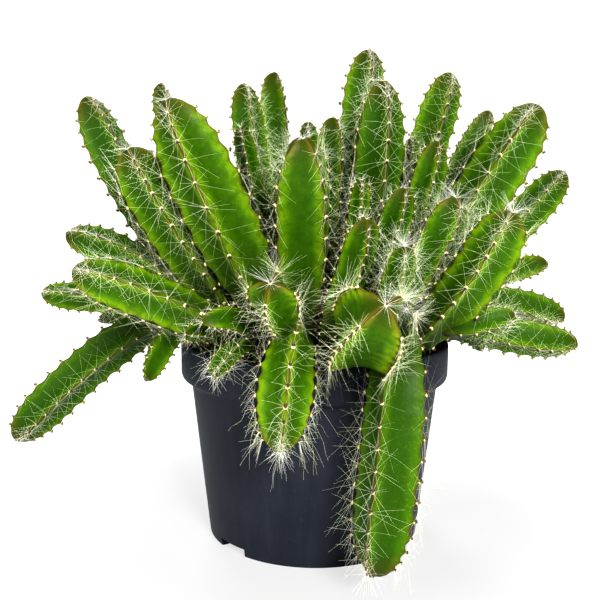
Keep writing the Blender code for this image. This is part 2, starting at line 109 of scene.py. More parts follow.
@dataclass(frozen=True)
class Shoot:
    """A side shoot of a stem.

    Args:
        start: Share of the stem's length at which it leaves the stem.
        elbow: The point that it comes from as it ends.
        tip: Where it ends.
        radius: Radius of its ribs at the widest place.
        ribs: Number of ribs.
        twist: Turn of the first rib about the middle line, in degrees.
        cap: Length of its rounded end, in radii.
        neck: Share of its length over which it widens from its foot.
        pitch: Distance between the areoles of a rib, away from the tip. 0 takes it from the radius.
    """

    start: float
    elbow: Point
    tip: Point
    radius: float
    ribs: int = 4
    twist: float = 0.0
    cap: float = 2.4
    neck: float = 0.55
    pitch: float = 0.0


@dataclass(frozen=True)
class Coat:
    """How bristly a stem is.

    Args:
        count: Bristles of an areole.
        reach: Mean length of a bristle.
        lift: How far a bristle stands off the skin: 0 lies flat, 1 points straight out.
        sag: How far the point of a bristle hangs, as a share of its length.
        crown: How much thicker the bristles stand on the tip: 1 doubles them.
        hairs: Long wavy hairs of an areole.
    """

    count: int
    reach: float
    lift: float
    sag: float
    crown: float = 0.4
    hairs: int = 0


class Coats(Enum):
    """The kinds of bristle cover that the stems have."""

    SPARSE = Coat(12, 12.5, 0.20, 0.03)
    DENSE = Coat(9, 9.0, 0.28, 0.04)
    SHORT = Coat(6, 5.5, 0.42, 0.05, 0.6)
    FUZZY = Coat(16, 8.0, 0.46, 0.05)
    SHAGGY = Coat(10, 8.5, 0.34, 0.12, 1.4, 2)
    TRAILING = Coat(11, 12.5, 0.20, 0.05, 0.0)
    CROWNED = Coat(12, 10.5, 0.34, 0.03, 1.2)


STEMS = {
    "stem_left_1": Stem((-33, 7), (-79, 3, 131), (-100.5, 0, 194.5), 10.2, 4, 38),
    "stem_left_2": Stem((-27, -6), (-57, -22, 127), (-75.5, -38, 171.5), 11.3, 4, 12, cap=1.7),
    "stem_left_3": Stem((-15, -16), (-32.8, -36, 128), (-58.3, -48, 190), 14.6, 4, -6, cap=2.5, pitch=10.5),
    "stem_left_4": Stem((-22, 20), (-62, 25, 150), (-72, 27, 203), 7.0, 3, 30),
    "stem_left_5": Stem((-27, -23), (-58, -42, 112), (-96, -50, 124), 10.0, 4, 22),
    "stem_left_6": Stem((-40, -4), (-68, -12, 126), (-108, -12, 135.5), 9.0, 4, 30),
    "stem_left_7": Stem((-43, 16), (-72, 13, 113), (-141, 10, 36), 10.6, 4, -15, 24),
    "stem_left_8": Stem((-43, -15), (-62, -24, 114), (-72, -26, 74), 7.0, 3, 20),
    "stem_front_1": Stem((-22, -34), (-30, -55, 112), (-44, -62, 106), 5.8, 3, 60),
    "stem_front_2": Stem(
        (-6, -38), (-10, -88, 119), (-13.5, -86, 63), 10.8, 4, -3, 16, neck=0.8, pitch=5.5
    ),
    "stem_front_3": Stem((26, -36), (36, -90, 140), (22, -78, 12), 12.5, 4, 29, 18, pitch=7.5),
    "stem_front_4": Stem((3, -26), (16, -46, 124), (18.3, -58, 145.7), 7.5, 4, 16, cap=2.0),
    "stem_centre_1": Stem((-14, 4), (-29, 0, 160), (-32, 5, 201), 7.5, 4, 20),
    "stem_centre_2": Stem((-8, 18), (-14, 28, 160), (-20, 35, 209), 8.6, 3, 30),
    "stem_centre_3": Stem((-4, -10), (-6, -34, 135), (-6, -48, 175.7), 14.0, 4, 39, cap=2.1),
    "stem_centre_4": Stem((2, 5), (8, -5, 150), (7, -8, 186), 8.0, 3, 30),
    "stem_centre_5": Stem((10, 17), (19, 14, 169), (24, 20, 217.8), 10.0, 4, 10),
    "stem_centre_6": Stem((13, -8), (29, -20, 150), (26.6, -22, 200), 10.8, 4, 11, cap=3.0),
    "stem_centre_7": Stem((22, 8), (46, 12, 155), (60, 12, 207), 9.5, 4, 10),
    "stem_centre_8": Stem((26, -9), (45, -14, 142), (50, -21, 176), 7.5, 4, 10),
    "stem_right_1": Stem((26, 21), (61, 22, 150), (80, 22, 191), 8.2, 4, 35),
    "stem_right_2": Stem((33, 1), (62, -10, 137), (92, -18, 191), 12.7, 4, -21, cap=2.1, pitch=8.5),
    "stem_right_3": Stem((40, 10), (79.3, 8, 122.7), (113.3, 12, 163.5), 8.8, 4, -15),
    "stem_right_4": Stem((37, -24), (58, -46, 105.5), (73.5, -58, 148.5), 10.7, 4, -18, cap=1.6),
    "stem_right_5": Stem((25, -20), (46, -30, 118), (56, -35, 153), 9.5, 4, 20, cap=1.6),
    "stem_right_6": Stem((13, -22), (29, -37, 130), (34, -45, 157), 7.0, 4, 10),
    "stem_right_7": Stem((33, 29), (88, 54, 103), (120, 57, 117.5), 9.0, 3, 20, 34),
    "stem_right_8": Stem((44, 21), (92, 30, 107), (123, 34, 91.5), 8.5, 4, 20, 28),
    "stem_right_9": Stem((45, -9), (90, -6, 86), (118, -4, 87.5), 9.3, 4, 20, 30),
    "stem_back_1": Stem((-28, 31), (-56, 52, 130), (-84, 66, 165), 10.0, 3, 0),
    "stem_back_2": Stem((-14, 32), (-26, 58, 135), (-36, 80, 172), 11.0, 3, 20),
    "stem_back_3": Stem((0, 28), (2, 62, 130), (2, 96, 150), 10.5, 3, 45),
    "stem_back_4": Stem((14, 32), (26, 58, 140), (34, 72, 185), 10.0, 3, 0),
    "stem_back_5": Stem((25, 39), (54, 64, 125), (76, 80, 150), 10.0, 3, 20),
    "stem_back_6": Stem((-3, 42), (-8, 96, 138), (-10, 90, 36), 11.0, 4, 10, 18),
    "stem_back_7": Stem((-37, 26), (-84, 48, 122), (-110, 60, 84), 9.0, 3, 20, 18),
    "stem_back_8": Stem((12, 45), (44, 92, 126), (52, 100, 84), 8.5, 3, 20, 18),
}

SHOOTS = {
    "stem_left_5": (Shoot(0.25, (-44, -42, 98), (-52, -50, 99), 5.0, 3),),
    "stem_left_6": (Shoot(0.35, (-84, -14, 106), (-119, -14, 110), 6.5, 4, 20),),
    "stem_front_1": (Shoot(0.3, (-30, -58, 100), (-40, -66, 86), 4.6, 3),),
    "stem_front_2": (
        Shoot(0.25, (-16, -66, 108), (-17.3, -80, 123.7), 10.8, 4, -17, 1.0, 1.0, 5.0),
    ),
    "stem_front_3": (
        Shoot(0.15, (8, -84, 98), (21, -112, 121), 15.0, 4, -25, 1.3, pitch=5.0),
        Shoot(0.25, (31, -64, 111), (30, -93, 116.5), 5.2, 3, 0),
        Shoot(0.2, (30, -52, 118), (32, -66, 136), 6.5, 4, 10),
    ),
    "stem_front_4": (Shoot(0.35, (17, -42, 140), (17, -48, 160), 4.8, 3),),
    "stem_centre_1": (Shoot(0.3, (-26, -16, 150), (-32, -20, 181), 5.5, 3),),
    "stem_centre_3": (Shoot(0.4, (-2, -20, 160), (-4, -26, 183), 5.5, 3),),
    "stem_centre_7": (Shoot(0.4, (42, 2, 150), (42, 0, 178), 5.0, 3),),
    "stem_right_4": (Shoot(0.3, (58, -40, 99.5), (80, -42, 106.5), 7.6, 4, 20),),
    "stem_right_9": (Shoot(0.35, (68, -16, 96), (73, -16, 86), 5.0, 3),),
}

COATS = {
    "stem_left_4": Coats.FUZZY,
    "stem_left_6": Coats.FUZZY,
    "stem_front_2": Coats.SHAGGY,
    "stem_front_3": Coats.TRAILING,
    "stem_centre_1": Coats.FUZZY,
    "stem_centre_2": Coats.FUZZY,
    "stem_centre_3": Coats.CROWNED,
    "stem_right_4": Coats.CROWNED,
    "stem_right_5": Coats.CROWNED,
}

SHOOT_COATS = {
    "stem_front_1": Coats.DENSE,
    "stem_front_2": Coats.CROWNED,
    "stem_front_3": Coats.CROWNED,
}

# Painted light: how lit or shaded each listed stem and its shoots are painted, from dark (0) to sunny (1).
PAINTED_LIGHT_TONES = {
    "stem_left_1": (0.0,),
    "stem_left_2": (0.55,),
    "stem_left_3": (0.7,),
    "stem_left_5": (0.75, 0.5),
    "stem_left_7": (0.0,),
    "stem_front_2": (1.0, 0.8),
    "stem_front_3": (0.0, 1.2, 0.6, 0.5),
    "stem_centre_3": (0.45, 0.4),
    "stem_centre_6": (0.0,),
    "stem_right_2": (0.4,),
    "stem_right_4": (0.9, 0.4),
}


class Graph:
    """A node tree that is built from expressions."""

    def __init__(self, tree: bpy.types.NodeTree) -> None:
        """Starts an empty graph in a node tree."""
        self.tree = tree

    @staticmethod
    def find(sockets: bpy.types.bpy_prop_collection, key: str | int) -> bpy.types.NodeSocket:
        """Finds a socket in use by its name or its place.

        Args:
            sockets: A node's inputs or outputs.
            key: The socket's name, or its place in the list.

        Returns:
            The socket.
        """
        if isinstance(key, int):
            return sockets[key]
        return next(socket for socket in sockets if socket.enabled and socket.name == key)

    def node(self, kind: str, settings: dict, inputs: dict) -> bpy.types.Node:
        """Adds a node.

        Args:
            kind: The node's type.
            settings: The node's properties, which are set first.
            inputs: A value or a linked socket for each input that isn't left as it is.

        Returns:
            The node.
        """
        made = self.tree.nodes.new(kind)
        for name, value in settings.items():
            setattr(made, name, value)
        for key, value in inputs.items():
            self.feed(self.find(made.inputs, key), value)
        return made

    def feed(self, target: bpy.types.NodeSocket, value: object) -> None:
        """Links an expression to an input socket, or sets the socket's constant."""
        if isinstance(value, Socket):
            self.tree.links.new(value.socket, target)
        else:
            target.default_value = value

    def value(self, kind: str, settings: dict, inputs: dict, output: str | int = 0) -> Socket:
        """Adds a node and returns one of its outputs as an expression.

        Args:
            kind: The node's type.
            settings: The node's properties.
            inputs: Its input values.
            output: Name or place of the output.

        Returns:
            The output.
        """
        made = self.node(kind, settings, inputs)
        return Socket(self, self.find(made.outputs, output))

    def combine(self, operation: str, first: object, second: object) -> Socket:
        """Adds a Math node, or a Vector Math node where a side is a vector.

        Args:
            operation: The node's operation.
            first: Its first operand.
            second: Its second operand.

        Returns:
            The result.
        """
        sides = [isinstance(side, tuple) or getattr(side, "is_vector", False) for side in (first, second)]
        if not any(sides):
            return self.math(operation, first, second)
        if operation == "MULTIPLY" and not all(sides):
            vector, number = (first, second) if sides[0] else (second, first)
            inputs = {"Vector": vector, "Scale": number}
            return self.value("ShaderNodeVectorMath", {"operation": "SCALE"}, inputs)
        return self.value("ShaderNodeVectorMath", {"operation": operation}, {0: first, 1: second})

    def math(self, operation: str, *operands: object) -> Socket:
        """Adds a Math node with any number of operands."""
        return self.value("ShaderNodeMath", {"operation": operation}, dict(enumerate(operands)))

    def vector(self, x: object, y: object, z: object) -> Socket:
        """Puts three numbers together as a vector."""
        return self.value("ShaderNodeCombineXYZ", {}, {"X": x, "Y": y, "Z": z})

    def step(self, value: Socket, low: float, high: float) -> Socket:
        """Eases from 0 at one value to 1 at another.

        Args:
            value: What is compared.
            low: Where the step starts.
            high: Where the step ends.

        Returns:
            The eased share.
        """
        sizes = {"Value": value, "From Min": low, "From Max": high}
        return self.value("ShaderNodeMapRange", {"interpolation_type": "SMOOTHSTEP"}, sizes)


class Socket:
    """A node socket in an expression. Its operators add the nodes that work them out."""

    def __init__(self, graph: Graph, socket: bpy.types.NodeSocket) -> None:
        """Wraps a socket of a graph."""
        self.graph = graph
        self.socket = socket

    @property
    def is_vector(self) -> bool:
        """Whether the socket holds a vector or a colour."""
        return self.socket.type in {"VECTOR", "RGBA"}

    def __add__(self, other: object) -> Socket:
        """The sum."""
        return self.graph.combine("ADD", self, other)

    def __radd__(self, other: object) -> Socket:
        """The sum, with this side second."""
        return self.graph.combine("ADD", other, self)

    def __sub__(self, other: object) -> Socket:
        """The difference."""
        return self.graph.combine("SUBTRACT", self, other)

    def __rsub__(self, other: object) -> Socket:
        """The difference, with this side second."""
        return self.graph.combine("SUBTRACT", other, self)

    def __mul__(self, other: object) -> Socket:
        """The product."""
        return self.graph.combine("MULTIPLY", self, other)

    def __rmul__(self, other: object) -> Socket:
        """The product, with this side second."""
        return self.graph.combine("MULTIPLY", other, self)

    def __truediv__(self, other: object) -> Socket:
        """The quotient."""
        return self.graph.combine("DIVIDE", self, other)


class MaterialGraph(Graph):
    """The nodes of one material round its Principled shader."""

    def __init__(self, name: str, constants: dict[str, object]) -> None:
        """Makes the material.

        Args:
            name: The material's name.
            constants: The shader inputs that are the same all over the surface.
        """
        self.material = bpy.data.materials.new(name)
        self.material.use_nodes = True
        super().__init__(self.material.node_tree)
        self.shader = self.tree.nodes["Principled BSDF"]
        for key, value in constants.items():
            self.shader.inputs[key].default_value = value

    def drive(self, key: str, value: Socket) -> None:
        """Feeds a shader input that changes over the surface."""
        self.feed(self.shader.inputs[key], value)

    def attribute(self, name: str) -> Socket:
        """A number that the mesh stores at its points."""
        return self.value("ShaderNodeAttribute", {"attribute_name": name}, {}, "Fac")

    def place(self, scale: Point = (1.0, 1.0, 1.0)) -> Socket:
        """The place on the piece, in metres and stretched by a scale."""
        where = self.value("ShaderNodeTexCoord", {}, {}, "Object")
        return self.value("ShaderNodeMapping", {}, {"Vector": where, "Scale": scale})

    def noise(self, scale: float, detail: float, place: Socket | None = None) -> Socket:
        """Soft noise from 0 to 1.

        Args:
            scale: Grains in a metre.
            detail: Number of finer layers.
            place: Where it is read, if not plainly on the piece.

        Returns:
            The noise.
        """
        inputs = {"Vector": place or self.place(), "Scale": scale, "Detail": detail}
        return self.value("ShaderNodeTexNoise", {}, inputs, "Fac")

    def mix(self, share: object, first: object, second: object) -> Socket:
        """Mixes two colours.

        Args:
            share: Share of the second colour.
            first: A colour of three numbers or an expression.
            second: The other colour.

        Returns:
            The mixed colour.
        """
        sides = [(*side, 1.0) if isinstance(side, tuple) else side for side in (first, second)]
        inputs = {"Factor": share, "A": sides[0], "B": sides[1]}
        return self.value("ShaderNodeMix", {"data_type": "RGBA"}, inputs, "Result")

    def shown(self, shares: Pair, mask: Socket) -> Socket:
        """The share of a colour that shows anyhow, and what a mask adds to it."""
        return shares[0] + shares[1] * mask

    def bump(self, height: Socket, distance: float, strength: float) -> None:
        """Roughens the surface.

        Args:
            height: Relief from 0 to 1.
            distance: Depth of the relief in metres.
            strength: How much of it shows.
        """
        inputs = {"Height": height, "Distance": distance, "Strength": strength}
        self.drive("Normal", self.value("ShaderNodeBump", {}, inputs, "Normal"))


@dataclass(frozen=True)
class FleshFinish:
    """The green skin of the stems, with browned rib edges and a foot darkened by cork and painted shade.

    Painted light is part of it: a highlight towards the crests, shade in the valleys, and listed stems
    painted lit or shaded. A scale is in grains to a metre. A range is where a mask on its noise, or on
    a value of the skin, goes from nothing to full. A share is how much of its colour a full mask brings
    in, and a pair of shares is what shows anyhow and what the mask adds. Weights are for sums.
    """

    # Colours: darker and brighter greens, a pale green for painted highlights and pale specks, a painted
    # shade for the valleys, rib-edge brown, and a near-black for cork and painted shade at the foot.
    deep: Colour = (0.038, 0.100, 0.0015)
    shaded: Colour = (0.012, 0.050, 0.0008)
    bright: Colour = (0.100, 0.215, 0.0025)
    painted_highlight_and_speck: Colour = (0.195, 0.290, 0.0045)
    edge: Colour = (0.085, 0.040, 0.010)
    cork_and_shade: Colour = (0.020, 0.018, 0.007)
    patch_scale: float = 60.0
    mottle_scale: float = 330.0
    grain_scale: float = 900.0
    wear_scale: float = 140.0
    relief_scales: Pair = (420.0, 1500.0)
    relief_depth: float = 0.0004
    bright_range: Pair = (0.2, 0.9)
    highlight_range: Pair = (0.10, 0.70)
    mottle_range: Pair = (0.42, 0.62)
    grain_range: Pair = (0.52, 0.75)
    wear_range: Pair = (0.35, 0.6)
    edge_range: Pair = (0.60, 0.98)
    edge_rise: Pair = (0.20, 0.75)
    areole_range: Pair = (0.7, 0.95)
    tip_range: Pair = (0.88, 1.0)
    valley_shade_range: Pair = (0.03, 0.40)
    foot_cork_and_shade_range: Pair = (0.08, 0.62)
    patch_weight: float = 0.6
    tone_and_light_weight: float = 0.7
    highlight_shares: Pair = (0.15, 0.7)
    mottle_shares: Pair = (0.18, 0.47)
    grain_share: float = 0.30
    edge_shares: Pair = (0.40, 0.55)
    areole_share: float = 0.9
    tip_share: float = 0.7
    valley_shade_share: float = 0.6
    cork_and_shade_share: float = 0.9
    roughness: float = 0.36
    patch_roughness: float = 0.16
    edge_roughness: float = 0.2
    relief_weights: Pair = (0.6, 0.4)
    relief_strength: float = 0.5

    def build(self) -> bpy.types.Material:
        """Makes the material.

        Returns:
            The material.
        """
        graph = MaterialGraph(
            "cactus_green",
            {
                "Subsurface Weight": 0.08,
                "Subsurface Radius": (0.5, 1.0, 0.05),
                "Subsurface Scale": 0.003,
                "Specular IOR Level": 0.10,
            },
        )
        crest = graph.attribute("crest")
        rise = graph.attribute("rise")
        areole = graph.attribute("areole")
        tone_and_light = graph.attribute("tone_and_light")
        patches = graph.noise(self.patch_scale, detail=3.0)
        mottle = graph.noise(self.mottle_scale, detail=4.0)
        grain = graph.noise(self.grain_scale, detail=3.0)
        # Random patches of the skin's own colour, plus painted light: each stem's tone paints the listed
        # stems lit or shaded.
        patches_and_painted_light = graph.step(patches * self.patch_weight + tone_and_light * self.tone_and_light_weight, *self.bright_range)
        green = graph.mix(patches_and_painted_light, self.deep, self.bright)
        # Painted highlight: the faces towards the crests turn a paler green, more on stems painted as lit.
        painted_crest_highlight = graph.step(crest, *self.highlight_range) * graph.shown(self.highlight_shares, tone_and_light)
        green = graph.mix(painted_crest_highlight, green, self.painted_highlight_and_speck)
        mottled = graph.shown(self.mottle_shares, graph.step(mottle, *self.mottle_range))
        green = graph.mix(mottled, green, self.deep)
        green = graph.mix(graph.step(grain, *self.grain_range) * self.grain_share, green, self.painted_highlight_and_speck)
        worn = graph.step(graph.noise(self.wear_scale, detail=2.0), *self.wear_range)
        browned = graph.step(crest, *self.edge_range) * graph.shown(self.edge_shares, worn)
        browned = browned * graph.step(rise, *self.edge_rise)
        spots = areole * graph.step(crest, *self.areole_range) * self.areole_share
        browned = graph.math("MAXIMUM", browned, spots)
        green = graph.mix(browned, green, self.edge)
        green = graph.mix(graph.step(rise, *self.tip_range) * self.tip_share, green, self.edge)
        # Painted shade: the valleys between the ribs turn a darker, shaded green.
        valley = 1.0 - graph.step(crest, *self.valley_shade_range)
        green = graph.mix(valley * self.valley_shade_share, green, self.shaded)
        # Darker towards the foot: partly cork, partly painted shade of the clump's dense middle.
        foot = 1.0 - graph.step(rise, *self.foot_cork_and_shade_range)
        green = graph.mix(foot * self.cork_and_shade_share, green, self.cork_and_shade)
        graph.drive("Base Color", green)
        roughness = self.roughness + self.patch_roughness * patches + self.edge_roughness * browned
        graph.drive("Roughness", roughness)
        coarse, fine = self.relief_scales
        coarse, fine = graph.noise(coarse, detail=4.0), graph.noise(fine, detail=2.0)
        relief = coarse * self.relief_weights[0] + fine * self.relief_weights[1]
        graph.bump(relief, self.relief_depth, self.relief_strength)
        return graph.material


@dataclass(frozen=True)
class PlasticFinish:
    """The matt charcoal plastic of the pot, with faint moulding streaks and dust."""

    dark: Colour = (0.0130, 0.0155, 0.0225)
    pale: Colour = (0.0210, 0.0245, 0.0330)
    dust: Colour = (0.10, 0.10, 0.10)
    cloud_scale: float = 30.0
    dust_scale: float = 700.0
    relief_scale: float = 1400.0
    streak_scale: Point = (240.0, 240.0, 22.0)
    relief_depth: float = 0.00012
    cloud_range: Pair = (0.35, 0.68)
    dust_range: Pair = (0.62, 0.75)
    dust_share: float = 0.12
    shade_weights: Pair = (0.6, 0.4)
    roughness: float = 0.44
    cloud_roughness: float = 0.12
    streak_roughness: float = 0.10
    relief_weights: Pair = (0.7, 0.3)
    relief_strength: float = 0.5

    def build(self) -> bpy.types.Material:
        """Makes the material.

        Returns:
            The material.
        """
        graph = MaterialGraph("pot_plastic", {"Specular IOR Level": 0.16})
        clouds = graph.noise(self.cloud_scale, detail=4.0)
        streaks = graph.noise(1.0, detail=3.0, place=graph.place(self.streak_scale))
        dust = graph.step(graph.noise(self.dust_scale, detail=3.0), *self.dust_range)
        paler = clouds * self.shade_weights[0] + streaks * self.shade_weights[1]
        paler = graph.step(paler, *self.cloud_range)
        shade = graph.mix(paler, self.dark, self.pale)
        shade = graph.mix(dust * self.dust_share, shade, self.dust)
        graph.drive("Base Color", shade)
        roughness = self.roughness + self.cloud_roughness * clouds + self.streak_roughness * streaks
        graph.drive("Roughness", roughness)
        fine = graph.noise(self.relief_scale, detail=3.0)
        relief = fine * self.relief_weights[0] + streaks * self.relief_weights[1]
        graph.bump(relief, self.relief_depth, self.relief_strength)
        return graph.material


@dataclass(frozen=True)
class SoilFinish:
    """Dark damp peat with paler fibres and crumbs."""

    damp: Colour = (0.012, 0.008, 0.005)
    dry: Colour = (0.075, 0.048, 0.028)
    fibre: Colour = (0.16, 0.10, 0.05)
    grain_scale: float = 520.0
    fibre_scale: Point = (300.0, 1500.0, 300.0)
    relief_depth: float = 0.0015
    dry_range: Pair = (0.35, 0.7)
    fibre_range: Pair = (0.62, 0.72)
    fibre_share: float = 0.5
    roughness: float = 0.8
    grain_roughness: float = 0.18
    relief_strength: float = 0.8

    def build(self) -> bpy.types.Material:
        """Makes the material.

        Returns:
            The material.
        """
        graph = MaterialGraph("soil", {"Specular IOR Level": 0.25})
        grains = graph.noise(self.grain_scale, detail=5.0)
        fibres = graph.noise(1.0, detail=4.0, place=graph.place(self.fibre_scale))
        colour = graph.mix(graph.step(grains, *self.dry_range), self.damp, self.dry)
        fibrous = graph.step(fibres, *self.fibre_range) * self.fibre_share
        colour = graph.mix(fibrous, colour, self.fibre)
        graph.drive("Base Color", colour)
        graph.drive("Roughness", self.roughness + self.grain_roughness * grains)
        graph.bump(grains, self.relief_depth, self.relief_strength)
        return graph.material


@dataclass(frozen=True)
class BristleFinish:
    """The bristles: cream to pale green, white on the tips, and a dull dark brown low on the stems as
    painted shade.
    """

    # The first colour is painted shade for bristles low on the stems, in the dense middle of the clump.
    low: Colour = (0.060, 0.055, 0.030)
    pale: Colour = (0.60, 0.66, 0.38)
    cream: Colour = (0.86, 0.86, 0.72)
    white: Colour = (0.90, 0.89, 0.84)
    patch_scale: float = 110.0
    cream_range: Pair = (0.35, 0.65)
    white_rise: Pair = (0.92, 1.0)
    low_shade_rise: Pair = (0.30, 0.68)

    def build(self) -> bpy.types.Material:
        """Makes the material.

        Returns:
            The material.
        """
        graph = MaterialGraph("bristle", {"Roughness": 0.5, "Specular IOR Level": 0.3})
        rise = graph.attribute("rise")
        patches = graph.step(graph.noise(self.patch_scale, detail=2.0), *self.cream_range)
        colour = graph.mix(patches, self.pale, self.cream)
        colour = graph.mix(graph.step(rise, *self.white_rise), colour, self.white)
        # Painted shade: the bristles low on the stems turn dark brown.
        colour = graph.mix(graph.step(rise, *self.low_shade_rise), self.low, colour)
        graph.drive("Base Color", colour)
        return graph.material


@dataclass(frozen=True)
class PlainFinish:
    """A small piece's finish: one colour with fine mottling."""

    name: str
    colour: Colour
    other: Colour
    roughness: float
    grain: float = 900.0

    def build(self) -> bpy.types.Material:
        """Makes the material.

        Returns:
            The material.
        """
        graph = MaterialGraph(self.name, {"Roughness": self.roughness})
        graph.drive("Base Color", graph.mix(graph.noise(self.grain, detail=1.0), self.colour, self.other))
        return graph.material


class GeometryGraph(Graph):
    """A Geometry Nodes tree with named inputs, which is run once on a source mesh."""

    KINDS = {float: "NodeSocketFloat", int: "NodeSocketInt", tuple: "NodeSocketVector"}

    def __init__(self, name: str) -> None:
        """Makes the tree with its geometry input and output."""
        super().__init__(bpy.data.node_groups.new(name, "GeometryNodeTree"))
        self.tree.interface.new_socket("Geometry", in_out="INPUT", socket_type="NodeSocketGeometry")
        self.tree.interface.new_socket("Geometry", in_out="OUTPUT", socket_type="NodeSocketGeometry")
        self.entry = self.tree.nodes.new("NodeGroupInput")
        self.exit = self.tree.nodes.new("NodeGroupOutput")
        self.values: dict[str, object] = {}

    @property
    def source(self) -> Socket:
        """The geometry that the tree is run on."""
        return Socket(self, self.entry.outputs["Geometry"])

    def size(self, name: str, value: float | int | Point) -> Socket:
        """Adds a named input.

        Args:
            name: The input's name.
            value: The value that the modifier gives it.

        Returns:
            The input.
        """
        kind = self.KINDS[type(value)]
        item = self.tree.interface.new_socket(name, in_out="INPUT", socket_type=kind)
        self.values[item.identifier] = value
        return Socket(self, self.entry.outputs[name])

    def attribute(self, name: str, kind: str = "FLOAT") -> Socket:
        """Reads what the points store under a name."""
        inputs = {"Name": name}
        return self.value("GeometryNodeInputNamedAttribute", {"data_type": kind}, inputs, "Attribute")

    def store(self, geometry: Socket, name: str, kind: str, value: Socket) -> Socket:
        """Stores a value at the points under a name.

        Args:
            geometry: The points.
            name: The name.
            kind: Its data type.
            value: What is stored.

        Returns:
            The points with the value.
        """
        settings = {"data_type": kind, "domain": "POINT"}
        inputs = {"Geometry": geometry, "Name": name, "Value": value}
        return self.value("GeometryNodeStoreNamedAttribute", settings, inputs)

    def random(self, low: object, high: object, seed: Socket, offset: int) -> Socket:
        """A random number or vector for each point.

        Args:
            low: Smallest value.
            high: Largest value.
            seed: The tree's seed.
            offset: Sets this draw apart from the tree's other draws.

        Returns:
            The random value.
        """
        kind = "FLOAT_VECTOR" if isinstance(low, tuple) else "FLOAT"
        inputs = {"Min": low, "Max": high, "Seed": seed + offset}
        return self.value("FunctionNodeRandomValue", {"data_type": kind}, inputs, "Value")

    def scatter(self, points: Socket, instance: Socket, way: Socket, scale: Socket) -> Socket:
        """Sets a copy of something on each point.

        Args:
            points: The points.
            instance: What is set on them, standing along Z.
            way: The direction that its Z turns to.
            scale: Its scale.

        Returns:
            The copies.
        """
        turn = self.value("FunctionNodeAlignRotationToVector", {"axis": "Z"}, {"Vector": way})
        inputs = {"Points": points, "Instance": instance, "Rotation": turn, "Scale": scale}
        return self.value("GeometryNodeInstanceOnPoints", {}, inputs)

    def close(self, geometry: Socket, material: bpy.types.Material) -> None:
        """Ends the tree: instances are realised and given their material."""
        real = self.value("GeometryNodeRealizeInstances", {}, {"Geometry": geometry})
        smooth = self.value("GeometryNodeSetShadeSmooth", {}, {"Geometry": real})
        inputs = {"Geometry": smooth, "Material": material}
        done = self.value("GeometryNodeSetMaterial", {}, inputs)
        self.feed(self.exit.inputs["Geometry"], done)

    def run(self, name: str, source: bpy.types.Mesh, material: bpy.types.Material) -> bpy.types.Object:
        """Runs the tree on a mesh and keeps the result as a plain mesh.

        Args:
            name: The new piece's name.
            source: The mesh that the tree starts from.
            material: The piece's material.

        Returns:
            The piece.
        """
        carrier = place_object(name + "_source", source)
        modifier = carrier.modifiers.new("repeat", "NODES")
        modifier.node_group = self.tree
        for identifier, value in self.values.items():
            modifier[identifier] = value
        graph = bpy.context.evaluated_depsgraph_get()
        mesh = bpy.data.meshes.new_from_object(carrier.evaluated_get(graph))
        bpy.data.objects.remove(carrier)
        for value in POINT_VALUES:
            if value in mesh.attributes:
                mesh.attributes.remove(mesh.attributes[value])
        mesh.materials.clear()
        mesh.materials.append(material)
        mesh.name = name
        return place_object(name, mesh)


def place_object(name: str, mesh: bpy.types.Mesh) -> bpy.types.Object:
    """Puts a mesh in the scene, at the origin."""
    obj = bpy.data.objects.new(name, mesh)
    bpy.context.scene.collection.objects.link(obj)
    return obj


def plain_mesh(name: str, points: np.ndarray, faces: list[tuple[int, ...]]) -> bpy.types.Mesh:
    """Makes a mesh from points in millimetres.

    Args:
        name: The mesh's name.
        points: One row of three numbers for each point.
        faces: The corners of each face.

    Returns:
        The mesh.
    """
    mesh = bpy.data.meshes.new(name)
    mesh.from_pydata((np.asarray(points) * MM).tolist(), [], faces)
    mesh.update()
    return mesh


def give_values(mesh: bpy.types.Mesh, name: str, kind: str, values: np.ndarray) -> None:
    """Stores a number or a vector at each point of a mesh.

    Args:
        mesh: The mesh.
        name: The attribute's name.
        kind: Its data type.
        values: A value for each point.
    """
    attribute = mesh.attributes.new(name, kind, "POINT")
    key = "vector" if kind == "FLOAT_VECTOR" else "value"
    attribute.data.foreach_set(key, np.asarray(values).ravel())


def ring_faces(rings: int, sides: int) -> list[tuple[int, ...]]:
    """The faces between neighbouring rings of points.

    Args:
        rings: Number of rings, stored one after another.
        sides: Points of a ring, counter-clockwise seen from the last ring.

    Returns:
        The faces.
    """
    faces = []
    for low in range(0, (rings - 1) * sides, sides):
        for side in range(sides):
            after = (side + 1) % sides
            faces.append((low + side, low + after, low + sides + after, low + sides + side))
    return faces


def unit(vectors: np.ndarray) -> np.ndarray:
    """Scales rows of vectors to length 1."""
    return vectors / np.linalg.norm(vectors, axis=-1, keepdims=True)


def smoothstep(value: np.ndarray | float) -> np.ndarray | float:
    """Eases from 0 to 1 as the value does."""
    value = np.clip(value, 0.0, 1.0)
    return value * value * (3.0 - 2.0 * value)


def eased(value: np.ndarray, start: float, span: float) -> np.ndarray:
    """Eases from 0 at a start to 1 when the value is a span further."""
    return smoothstep((value - start) / span)


